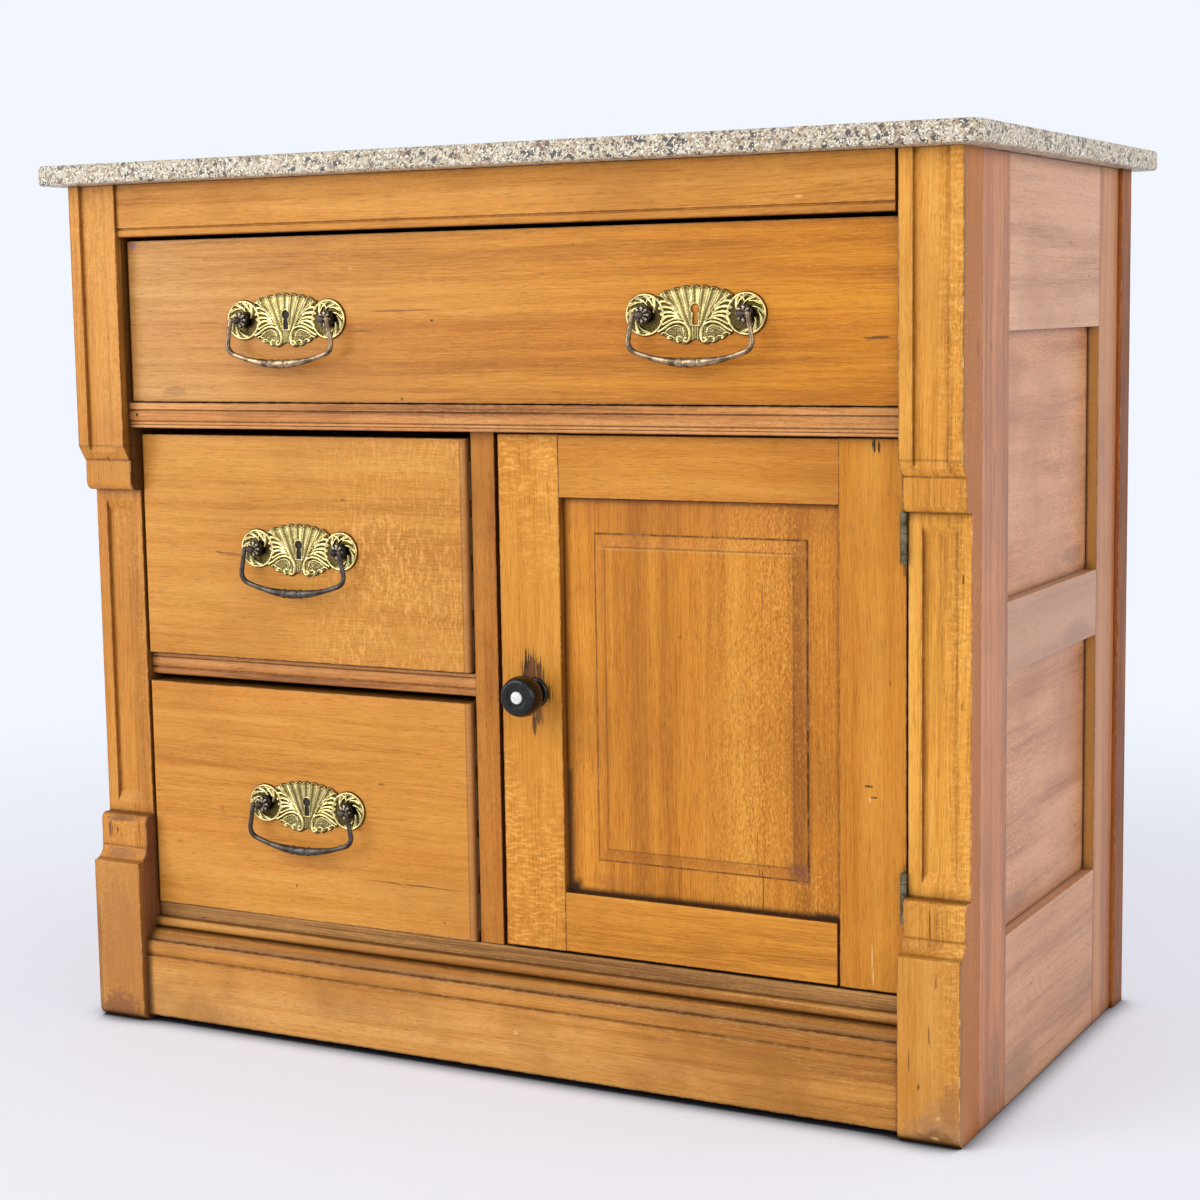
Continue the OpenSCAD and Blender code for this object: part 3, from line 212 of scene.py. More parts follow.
FRONT = Tones((0.75, 0.36, 0.085), (0.63, 0.262, 0.044), (0.36, 0.12, 0.016))
UPRIGHT = Tones((0.84, 0.45, 0.095), (0.73, 0.325, 0.046), (0.40, 0.15, 0.018))
DRAWER = Tones((0.74, 0.355, 0.078), (0.63, 0.262, 0.042), (0.42, 0.15, 0.020))
DOOR = Tones((0.74, 0.335, 0.055), (0.61, 0.235, 0.028), (0.36, 0.12, 0.013))
LOCK = Tones((0.79, 0.37, 0.066), (0.66, 0.26, 0.034), (0.38, 0.13, 0.015))
PANEL = Tones((0.73, 0.32, 0.05), (0.60, 0.22, 0.026), (0.33, 0.105, 0.012))
RAIL = Tones((0.70, 0.33, 0.11), (0.54, 0.215, 0.056), (0.22, 0.075, 0.020))
STILE = Tones((0.57, 0.22, 0.035), (0.42, 0.135, 0.018), (0.15, 0.045, 0.010))
BASE = Tones((0.72, 0.39, 0.125), (0.56, 0.275, 0.076), (0.27, 0.115, 0.034))
PLINTH = Tones((0.74, 0.38, 0.115), (0.61, 0.275, 0.056), (0.36, 0.14, 0.027))
# The side woods are darker and pinker than the front woods: painted shade and painted reflection of the side,
# over their own tone
SIDE = Tones((0.63, 0.255, 0.088), (0.51, 0.185, 0.060), (0.24, 0.075, 0.026))
SIDE_PANEL = Tones((0.65, 0.32, 0.170), (0.55, 0.25, 0.120), (0.32, 0.12, 0.052))
STRIP = Tones((0.72, 0.26, 0.070), (0.54, 0.17, 0.042), (0.30, 0.085, 0.024))
INSIDE = Tones((0.72, 0.46, 0.22), (0.60, 0.35, 0.15), (0.36, 0.18, 0.07))

RUDDY = (0.92, 0.72, 0.55)
ORDER = {"x": (0, 1, 2), "y": (1, 0, 2), "z": (2, 0, 1)}
FRONT_FACE = (0, 2)
SIDE_FACE = (1, 2)

# What use has left on one piece, with the painted shade, highlights and sheen noted where they are laid. A
# streak along the grain or a smudge is a centre, a reach, a strength and a tint. A box is its low and high
# corners, the softness of its edge, a strength and a tint. A wash is a box that the wood's own tone is
# multiplied in.
WearAndLight = namedtuple("WearAndLight", "streaks smudges boxes washes", defaults=((), (), (), ()))


class Wood(Graph):
    """Shellacked wood, laid on in layers that change its colour and its relief."""

    def __init__(self, name, tones, grain, seed):
        super().__init__(name)
        self.seed = seed
        self.tones = tones
        self.bright = tuple(min(1.0, 1.15 * c + 0.03) for c in tones.light)
        self.deep = tuple(0.32 * c for c in tones.dark)
        self.bare = tuple(min(1.0, 1.05 * c + 0.09) for c in tones.light)
        self.at = self.place()
        parts = self.add("SeparateXYZ", {0: self.at})
        a, b, c = (parts.outputs[i] for i in ORDER[grain])
        along = self.add("CombineXYZ", {0: a, 1: b, 2: c})
        along = self.scaled(along, (1, 1, 1), (3.1 * seed, 1.7 * seed, 0.9 * seed))
        sway = self.swing(self.noise(self.scaled(along, (3.0, 8.0, 8.0))), 0.014)
        self.along = self.moved(along, self.add("CombineXYZ", {1: sway, 2: sway}))

    def fibre(self, length, width, shift=0.0, detail=2.0, rough=0.5):
        """Noise drawn out along the grain."""
        vector = self.scaled(self.along, (length, width, width), (shift, shift, shift))
        return self.noise(vector, 1.0, detail, rough)

    def paint(self, share, tint):
        self.colour = self.blend(share, self.colour, tint)

    def lay_grain(self, band, swell):
        """Bands and fibres from dark to light, waves that slant across them, and redder streaks."""
        broad = self.fibre(0.9, 15)
        long = self.fibre(1.6, 52)
        self.middle = self.fibre(2.6, 140, detail=3.0, rough=0.6)
        self.fine = self.fibre(18, 720, detail=3.0, rough=0.7)
        layers = ((broad, 1.9 * band), (long, 1.5 * band), (self.middle, 1.2 * band), (self.fine, 0.95))
        tone = 0.53
        for layer, strength in layers:
            tone = self.plus(tone, self.swing(layer, strength))
        if swell:
            slant = self.add("Mapping", {"Vector": self.at, "Rotation": (0.35, 0, 0), "Scale": (6, 6, 46)})
            tone = self.plus(tone, self.swing(self.noise(slant), 2.2 * swell))
        light, middle, dark = self.tones
        self.colour = self.ramp(tone, [(0.12, dark), (0.5, middle), (0.9, light)]).outputs[0]
        redder = tuple(c * k for c, k in zip(middle, RUDDY))
        share = self.span(self.fibre(1.4, 22, 7), 0.48, 0.72, 0.0, 0.55)
        self.paint(share, self.blend(0.5, self.colour, redder))

    def lay_bands(self, bands):
        """Dark bands along the grain, each a place across it, a half width and a strength."""
        for centre, wide, strength in bands:
            parts = self.add("SeparateXYZ", {0: self.along})
            off = self.calc("ABSOLUTE", self.plus(parts.outputs[1], -centre - 1.7 * self.seed))
            soft = self.plus(off, self.swing(self.middle, 0.012))
            self.paint(self.times(self.span(soft, wide, 0.0), strength), self.tones.dark)

    def lay_figure(self, pore, fleck, curl, figured):
        """Pores, rays that flash across the grain and, on curly wood, a ripple, most of it in one box."""
        pores = self.fibre(110, 1500, detail=1.0)
        dash = self.span(pores, 0.58, 0.70)
        pale = self.span(pores, 0.40, 0.28)
        self.paint(self.times(dash, pore), self.deep)
        self.paint(self.times(pale, 0.8 * pore), self.bright)
        where = self.span(self.fibre(5, 16, 5), 0.40, 0.60)
        if figured:
            where = self.times(self.inside(self.at, *figured), self.span(where, 0.0, 1.0, 0.45, 1.0))
        wobble = self.fibre(60, 90, 2, detail=1.0)
        waved = self.moved(self.along, self.swing(wobble, 0.010))
        lens = self.noise(self.scaled(waved, (300.0, 900.0, 900.0)), detail=1.0)
        shine = self.times(self.span(lens, 0.54, 0.66), self.times(where, fleck))
        gap = self.times(self.span(lens, 0.46, 0.34), self.times(where, fleck))
        self.paint(self.times(shine, 0.55), self.bright)
        self.paint(self.times(gap, 0.5), self.tones.dark)
        relief = self.times(self.fine, 0.5)
        self.relief = self.plus(relief, self.plus(self.times(dash, -0.6), self.times(shine, 0.8)))
        if curl:
            swirl = self.moved(self.along, self.swing(wobble, 0.006))
            ripple = self.noise(self.scaled(swirl, (480.0, 120.0, 120.0), (9, 9, 9)))
            crest = self.times(self.span(ripple, 0.50, 0.66), self.times(where, curl))
            trough = self.times(self.span(ripple, 0.48, 0.34), self.times(where, curl))
            self.paint(self.times(crest, 0.6), self.bright)
            self.paint(self.times(trough, 0.35), self.tones.dark)
            self.relief = self.plus(self.relief, self.times(crest, 0.4))

    def lay_stains(self, stain):
        """Clouded patches, and dark and pale specks."""
        self.cloud = self.noise(self.scaled(self.at, (7, 7, 7), (self.seed,) * 3), detail=4.0, rough=0.6)
        self.paint(self.times(self.span(self.cloud, 0.46, 0.74), 2 * stain), self.tones.dark)
        cell = self.cells(self.scaled(self.along, (24, 75, 75)))
        pick = self.add("SeparateColor", {0: cell.outputs["Color"]})
        speck = self.span(cell.outputs["Distance"], 0.10, 0.03)
        self.paint(self.times(speck, self.times(self.span(pick.outputs[0], 0.86, 0.88), 0.75)), self.deep)
        self.paint(self.times(speck, self.times(self.span(pick.outputs[1], 0.88, 0.90), 0.7)), self.bare)

    def lay_wear_and_light(self, wear_and_light, box, face, lines):
        """Dark lines at set distances inside the outline, then streaks, smudges and boxes: grime and use, and
        in places painted shade, highlights and sheen.
        """
        streaks = self.fibre(16, 300, rough=0.7)
        off = self.beyond(self.at, *box, face)
        soil_and_shade = 0.0
        for inset, wide, strength, tint in lines:
            near = self.span(self.calc("ABSOLUTE", self.plus(off, inset)), wide, 0.15 * wide)
            near = self.times(near, self.span(self.plus(streaks, self.cloud), 0.55, 1.15, 0.55, 1.0))
            near = self.times(near, strength)
            self.paint(near, tint or self.deep)
            soil_and_shade = self.plus(soil_and_shade, near)
        threads = self.fibre(45, 900, 4, rough=0.6)
        self.mottle = self.noise(self.at, 330, 3.0, 0.65)
        for centre, reach, strength, tint in wear_and_light.streaks:
            near = self.near(self.at, centre, reach)
            core = self.span(near, 0.0, 0.15)
            mask = self.times(core, self.span(self.plus(threads, self.times(near, 0.33)), 0.59, 0.71))
            mask = self.times(mask, strength)
            self.paint(mask, tint)
            soil_and_shade = self.plus(soil_and_shade, mask)
        for centre, reach, strength, tint in wear_and_light.smudges:
            near = self.near(self.at, centre, reach)
            ragged = self.span(self.plus(near, self.swing(self.mottle, 1.3)), 0.25, 0.8)
            mask = self.times(ragged, self.span(near, 0.0, 0.2))
            self.paint(self.times(mask, strength), tint)
        for low, high, soft, strength, tint in wear_and_light.boxes:
            outside = self.beyond(self.at, low, high, (0, 1, 2))
            ragged = self.plus(outside, self.swing(self.mottle, 1.6 * soft))
            mask = self.span(ragged, soft, -soft)
            mask = self.times(mask, self.span(self.plus(streaks, self.mottle), 0.6, 1.1, 0.7, 1.0))
            mask = self.times(mask, strength)
            self.paint(mask, tint or self.deep)
            soil_and_shade = self.plus(soil_and_shade, self.times(mask, 0.5))
        self.relief = self.plus(self.relief, self.times(soil_and_shade, -0.8))

    def lay_edges(self, dirt_and_shade, chafed):
        """Grime and painted shade in the corners, darkened by occlusion, and bare wood where the arrises are
        rubbed.
        """
        # painted shade with the dirt: occlusion darkens corners, crevices and the gaps under rails
        hollow_dirt_and_shade = self.add("AmbientOcclusion", {"Distance": 0.008}, samples=4)
        hollow_dirt_and_shade = self.plus(hollow_dirt_and_shade.outputs["AO"], self.swing(self.mottle, 0.4))
        hollow_dirt_and_shade = self.span(hollow_dirt_and_shade, 0.84, 0.34)
        self.paint(self.times(hollow_dirt_and_shade, dirt_and_shade), self.deep)
        round_off = self.add("Bevel", {"Radius": 0.0014}, samples=3)
        flat = self.add("NewGeometry", {}).outputs["Normal"]
        edge = self.add("VectorMath", {0: round_off, 1: flat}, operation="DOT_PRODUCT").outputs["Value"]
        chafe = self.noise(self.scaled(self.at, (120, 120, 120)), detail=3.0, rough=0.7)
        edge = self.times(self.span(edge, 0.985, 0.87), self.span(chafe, 0.44, 0.60))
        edge = self.times(edge, self.span(hollow_dirt_and_shade, 0.5, 0.0))
        self.paint(self.times(edge, chafed), self.bare)


def wood(name, tones, grain, seed, box, face=FRONT_FACE, fleck=0.3, curl=0.0, band=0.5, stain=0.2,
         gloss=0.14, raw=False, rim=0.8, swell=0.0, pore=0.27, dirt_and_shade=0.85, figured=None, lines=(), bands=(),
         wear_and_light=WearAndLight()):
    """One piece's wood. fleck, curl, band, stain, swell and pore are the strengths of its rays, ripple,
    bands, patches, slanting waves and pores, and dirt_and_shade is that of the grime and painted shade in its
    corners. figured is the box that holds most of its rays and ripple, with the softness of its edge. Raw
    wood has no shellac."""
    g = Wood(name, tones, grain, seed)
    g.lay_grain(band, swell)
    for low, high, soft, tint in wear_and_light.washes:
        g.colour = g.blend(g.inside(g.at, low, high, soft), g.colour, tint, "MULTIPLY")
    g.lay_bands(bands)
    g.lay_figure(pore, fleck, curl, figured)
    g.lay_stains(stain)
    g.lay_wear_and_light(wear_and_light, box, face, ((0.0, 0.0010, rim, g.deep), *lines))
    g.lay_edges(*((0.15, 0.2) if raw else (dirt_and_shade, 0.75)))
    rough = g.plus(0.66 if raw else 0.36, g.times(g.plus(g.fine, -0.4), 0.22))
    normal = g.bump(g.relief, 0.00018, 0.5)
    level = 0.25 if raw else gloss
    return g.finish(Base_Color=g.colour, Roughness=rough, Normal=normal, Specular_IOR_Level=level)


def granite():
    g = Graph("granite")
    place = g.place()
    drift = g.noise(place, 300, 2.0)
    place = g.moved(place, g.swing(drift, 0.003))
    base = g.add("SeparateColor", {0: g.cells(place, 620).outputs["Color"]})
    stops = [(0.0, (0.62, 0.50, 0.34)), (0.28, (0.42, 0.30, 0.19)), (0.5, (0.74, 0.66, 0.50)),
             (0.72, (0.24, 0.17, 0.11)), (0.88, (0.84, 0.80, 0.68)), (1.0, (0.48, 0.42, 0.34))]
    colour = g.ramp(base.outputs[0], stops).outputs[0]
    coarse = g.add("SeparateColor", {0: g.cells(place, 310).outputs["Color"]})
    colour = g.blend(g.span(coarse.outputs[1], 0.89, 0.91), colour, (0.070, 0.070, 0.075))
    colour = g.blend(g.times(g.span(coarse.outputs[2], 0.86, 0.88), 0.7), colour, (0.24, 0.13, 0.075))
    colour = g.blend(g.times(g.span(coarse.outputs[0], 0.90, 0.92), 0.7), colour, (0.62, 0.55, 0.42))
    fine = g.add("SeparateColor", {0: g.cells(place, 1000).outputs["Color"]})
    colour = g.blend(g.span(fine.outputs[0], 0.84, 0.87), colour, (0.045, 0.04, 0.035))
    colour = g.blend(g.span(fine.outputs[1], 0.88, 0.92), colour, (0.88, 0.84, 0.72))
    grain = g.noise(place, 2200, 2.0)
    colour = g.blend(g.times(g.plus(grain, -0.3), 0.3), colour, (0.42, 0.34, 0.24))
    rough = g.span(grain, 0.3, 0.7, 0.36, 0.52)
    normal = g.bump(g.plus(grain, fine.outputs[0]), 0.00008, 0.25)
    return g.finish(Base_Color=colour, Roughness=rough, Normal=normal, Specular_IOR_Level=0.4)


def metal(name, high, low, rough=0.3, grime=(0.02, 0.016, 0.01), relief=False, patch=0.5, dirt_and_shade=0.85):
    """Old metal: high on its worn rounds, low in between, and grime in its hollows, deepened there by painted
    shade from occlusion.
    """
    g = Graph(name)
    place = g.place()
    blot = g.noise(place, 120, 4.0, 0.6)
    pits = g.noise(place, 900, 2.0)
    colour = g.blend(g.times(g.span(blot, 0.4, 0.66), patch), high, low)
    if relief:
        level = g.add("Attribute", {}, attribute_name="relief").outputs["Fac"]
        worn = g.span(g.plus(level, g.swing(pits, 0.25)), 0.25, 0.72)
        colour = g.blend(g.calc("SUBTRACT", 1.0, worn), colour, low)
        colour = g.blend(g.span(level, 0.27, 0.03), colour, grime)
    # painted shade as well as grime: occlusion darkens the hollows
    hollow_dirt_and_shade = g.add("AmbientOcclusion", {"Distance": 0.003}, samples=6).outputs["AO"]
    dark = g.span(hollow_dirt_and_shade, 0.75, 0.3)
    colour = g.blend(g.times(dark, dirt_and_shade), colour, grime)
    roughness = g.plus(rough, g.plus(g.times(g.plus(pits, -0.4), 0.25), g.times(dark, 0.25)))
    normal = g.bump(pits, 0.00005, 0.5)
    return g.finish(Base_Color=colour, Metallic=1.0, Roughness=roughness, Normal=normal)


def ebony():
    g = Graph("ebony")
    place = g.place()
    scuff = g.noise(place, 260, 4.0, 0.65)
    turned = g.noise(g.scaled(place, (60, 2400, 60)), detail=1.0)
    colour = g.blend(g.span(scuff, 0.64, 0.84), (0.004, 0.004, 0.004), (0.050, 0.044, 0.040))
    rough = g.span(scuff, 0.3, 0.75, 0.12, 0.36)
    normal = g.bump(g.plus(turned, scuff), 0.00008, 0.4)
    return g.finish(Base_Color=colour, Roughness=rough, Normal=normal, Specular_IOR_Level=0.3,
                    Coat_Weight=0.12, Coat_Roughness=0.12)


def porcelain():
    g = Graph("porcelain")
    place = g.place()
    mottle = g.noise(place, 700, 4.0, 0.6)
    colour = g.ramp(mottle, [(0.35, (0.50, 0.49, 0.46)), (0.6, (0.86, 0.86, 0.84))]).outputs[0]
    normal = g.bump(mottle, 0.00006, 0.3)
    return g.finish(Base_Color=colour, Roughness=0.3, Normal=normal)


# Wear, dirt, painted shade and painted highlights, placed from the frame's own boxes

# Tints of dirt and wear; some also paint shade or highlights where noted below
NAIL_AND_SHADE = (0.03, 0.014, 0.006)
SOOT_AND_SHADE = (0.035, 0.017, 0.009)
GRIME_AND_SHADE = (0.10, 0.052, 0.022)
DUSTY = (0.38, 0.22, 0.12)
PURPLE = (0.14, 0.055, 0.04)
REDDISH = (0.36, 0.12, 0.035)
CHIP_AND_HIGHLIGHT = (0.76, 0.45, 0.19)
WORN_END_AND_SHADE = (0.42, 0.18, 0.07)
ROUNDED_END_HIGHLIGHT = (0.52, 0.22, 0.09)
BRUISE = (0.30, 0.17, 0.20)
POST_SIDE_LIGHT = (0.53, 0.160, 0.038)
GOLDEN_HIGHLIGHT = (0.56, 0.27, 0.06)
FOOT_TONE = (0.50, 0.19, 0.035)
SCRATCH = (0.17, 0.07, 0.025)
STEP_DIRT = (0.34, 0.15, 0.055)
DULL = (0.34, 0.19, 0.13)

POST_W = 0.044
CHANNEL_W = 0.025
CHANNEL_LINE = 0.0007
CAP_TOP = 0.164
CAP_LOW = 0.1385
FOOT_H = 0.1275
CORBEL_LOW = 0.423
CORBEL_TOP = 0.447
CHANNEL_END = 0.011
SLANT_H = 0.011
RAIL_LOW = 0.139
SIDE_X = 0.362
SUNK_X = 0.353
FIELD_Y = -0.170
FIELD_EDGE = 0.0255
COVE_W = 0.009

post_low, post_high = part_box("right_front_post")
foot_y = post_low.y
case_y = foot_y + 0.002
case_top = post_high.z
corner_x = post_high.x
stile_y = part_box("door_lock_stile")[0].y
rail_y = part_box("waist_rail")[0].y
small_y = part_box("upper_drawer_front")[0].y
knob_low, knob_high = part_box("door_knob")
knob_at = ((knob_low.x + knob_high.x) / 2, (knob_low.z + knob_high.z) / 2)
lock_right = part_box("door_lock_stile")[1].x
hinge_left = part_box("door_hinge_stile")[0].x
plinth_low, plinth_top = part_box("plinth_board")
drawer_low, drawer_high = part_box("top_drawer_front")
back_stile_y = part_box("right_back_stile")[0].y

panel_low, panel_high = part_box("door_panel")
panel_tongue = (panel_high.x - panel_low.x - (hinge_left - lock_right)) / 2
panel_left, panel_right = panel_low.x + panel_tongue, panel_high.x - panel_tongue
panel_foot, panel_head = panel_low.z + panel_tongue, panel_high.z - panel_tongue
field_left, field_right = panel_left + FIELD_EDGE, panel_right - FIELD_EDGE
field_foot, field_head = panel_foot + FIELD_EDGE, panel_head - FIELD_EDGE


def marks(y, depth, rows, about=(0, 0)):
    """Streaks or smudges on a front face at y. A row is x, z, half width and half height in millimetres from
    a place, a strength and a tint."""
    return [((about[0] + x * MM, y, about[1] + z * MM), (wide * MM, depth * MM, high * MM), strength, tint)
            for x, z, wide, high, strength, tint in rows]


def side_marks(x, depth, rows):
    """The same on a side face at x, with y in place of x."""
    return [((x, y * MM, z * MM), (depth * MM, wide * MM, high * MM), strength, tint)
            for y, z, wide, high, strength, tint in rows]


def post_marks(rows):
    """The same on a front post. Its rows also give y, from the face of its foot, and the reach in y."""
    return [((x * MM, foot_y + y * MM, z * MM), (wide * MM, deep * MM, high * MM), strength, tint)
            for x, y, z, wide, deep, high, strength, tint in rows]


def edge_chips(y, *places):
    """Pale chips along the right post's outer corner, each a height and a size in millimetres."""
    return [((corner_x, y, z * MM), (0.0019, 0.0019, size * MM), 0.75, CHIP_AND_HIGHLIGHT) for z, size in places]


def across(y, z, rows):
    """Dirt over the full width of a front face at y. A row is its lower and upper height from z and its
    softness in millimetres, a strength and a tint."""
    return [((-1, y - 0.01, z + low * MM), (1, 1, z + high * MM), soft * MM, strength, tint)
            for low, high, soft, strength, tint in rows]


def slabs(rows):
    """Dirt at any depth. A row is x and z of two corners, a softness, a strength and a tint."""
    return [((x0, -1, z0), (x1, 1, z1), soft, strength, tint)
            for x0, z0, x1, z1, soft, strength, tint in rows]


def all_over(*tint):
    """A wash over a whole piece."""
    return [((-2, -2, -2), (2, 2, 2), 0.01, tint)]


def between(low, high, *tint):
    """A wash between two heights."""
    return (-1, -1, low), (1, 1, high), 0.01, tint


def post_wear_and_shade(side):
    """Marks of a front post: painted shade on both walls of its channels, its dark seams, grime and painted
    shade on its inner face, its outer face painted in the side's light, and the tone of its foot.
    """
    middle = side * (post_high.x - POST_W / 2)
    inner = side * (post_high.x - POST_W)
    faces = sorted((side * (post_high.x - 0.0006), side))
    channels = ((CORBEL_TOP + 0.002, case_top), (CAP_TOP + CHANNEL_END, CORBEL_LOW - CHANNEL_END))
    seams = ((CAP_LOW, 0.7), (FOOT_H + 0.001, 0.75), (CAP_TOP, 0.85), (CORBEL_LOW, 0.9), (CORBEL_TOP, 0.7),
             (CORBEL_TOP + SLANT_H, 0.5))
    tone, strength = (FOOT_TONE, 0.3) if side > 0 else (STEP_DIRT, 0.4)
    return [
        # painted shade along the walls of the channels
        *(((x - CHANNEL_LINE, case_y, z0), (x + CHANNEL_LINE, case_y + 0.03, z1), 0.0006, 0.32, None)
          for x in (middle - CHANNEL_W / 2, middle + CHANNEL_W / 2) for z0, z1 in channels),
        *(((-1, foot_y, z - 0.0007), (1, case_y + 0.024, z + 0.0007), 0.001, dark, None)
          for z, dark in seams),
        # painted shade and dirt on the inner face, black deep in beside the drawers
        ((inner - 0.0006, case_y + 0.0068, CORBEL_LOW), (inner + 0.0006, case_y + 0.03, case_top),
         0.0016, 1.0, SOOT_AND_SHADE),
        ((inner - 0.0006, foot_y + 0.004, 0.0), (inner + 0.0006, case_y + 0.03, CAP_TOP),
         0.0030, 0.9, REDDISH if side > 0 else PURPLE),
        # painted light: the outer side face in the redder tone that the side's light gives it
        ((faces[0], case_y + 0.004, 0.0), (faces[1], 1, case_top), 0.0008, 0.6, POST_SIDE_LIGHT),
        ((-1, foot_y - 0.01, 0.0), (1, case_y + 0.004, FOOT_H), 0.004, strength, tone),
    ]


def small_edges(top):
    """The rounded, worn right end of a small drawer front, painted in the darker reddish tone of its shade,
    with a dark painted line of shade beside it.
    """
    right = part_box("upper_drawer_front")[1].x
    near, far = small_y - 0.01, small_y + 0.01
    return [((right - 0.0042, near, 0), (right + 0.01, far, top), 0.0008, 0.6, WORN_END_AND_SHADE),
            ((right - 0.0048, near, 0), (right - 0.0040, far, top), 0.0006, 0.6, None)]


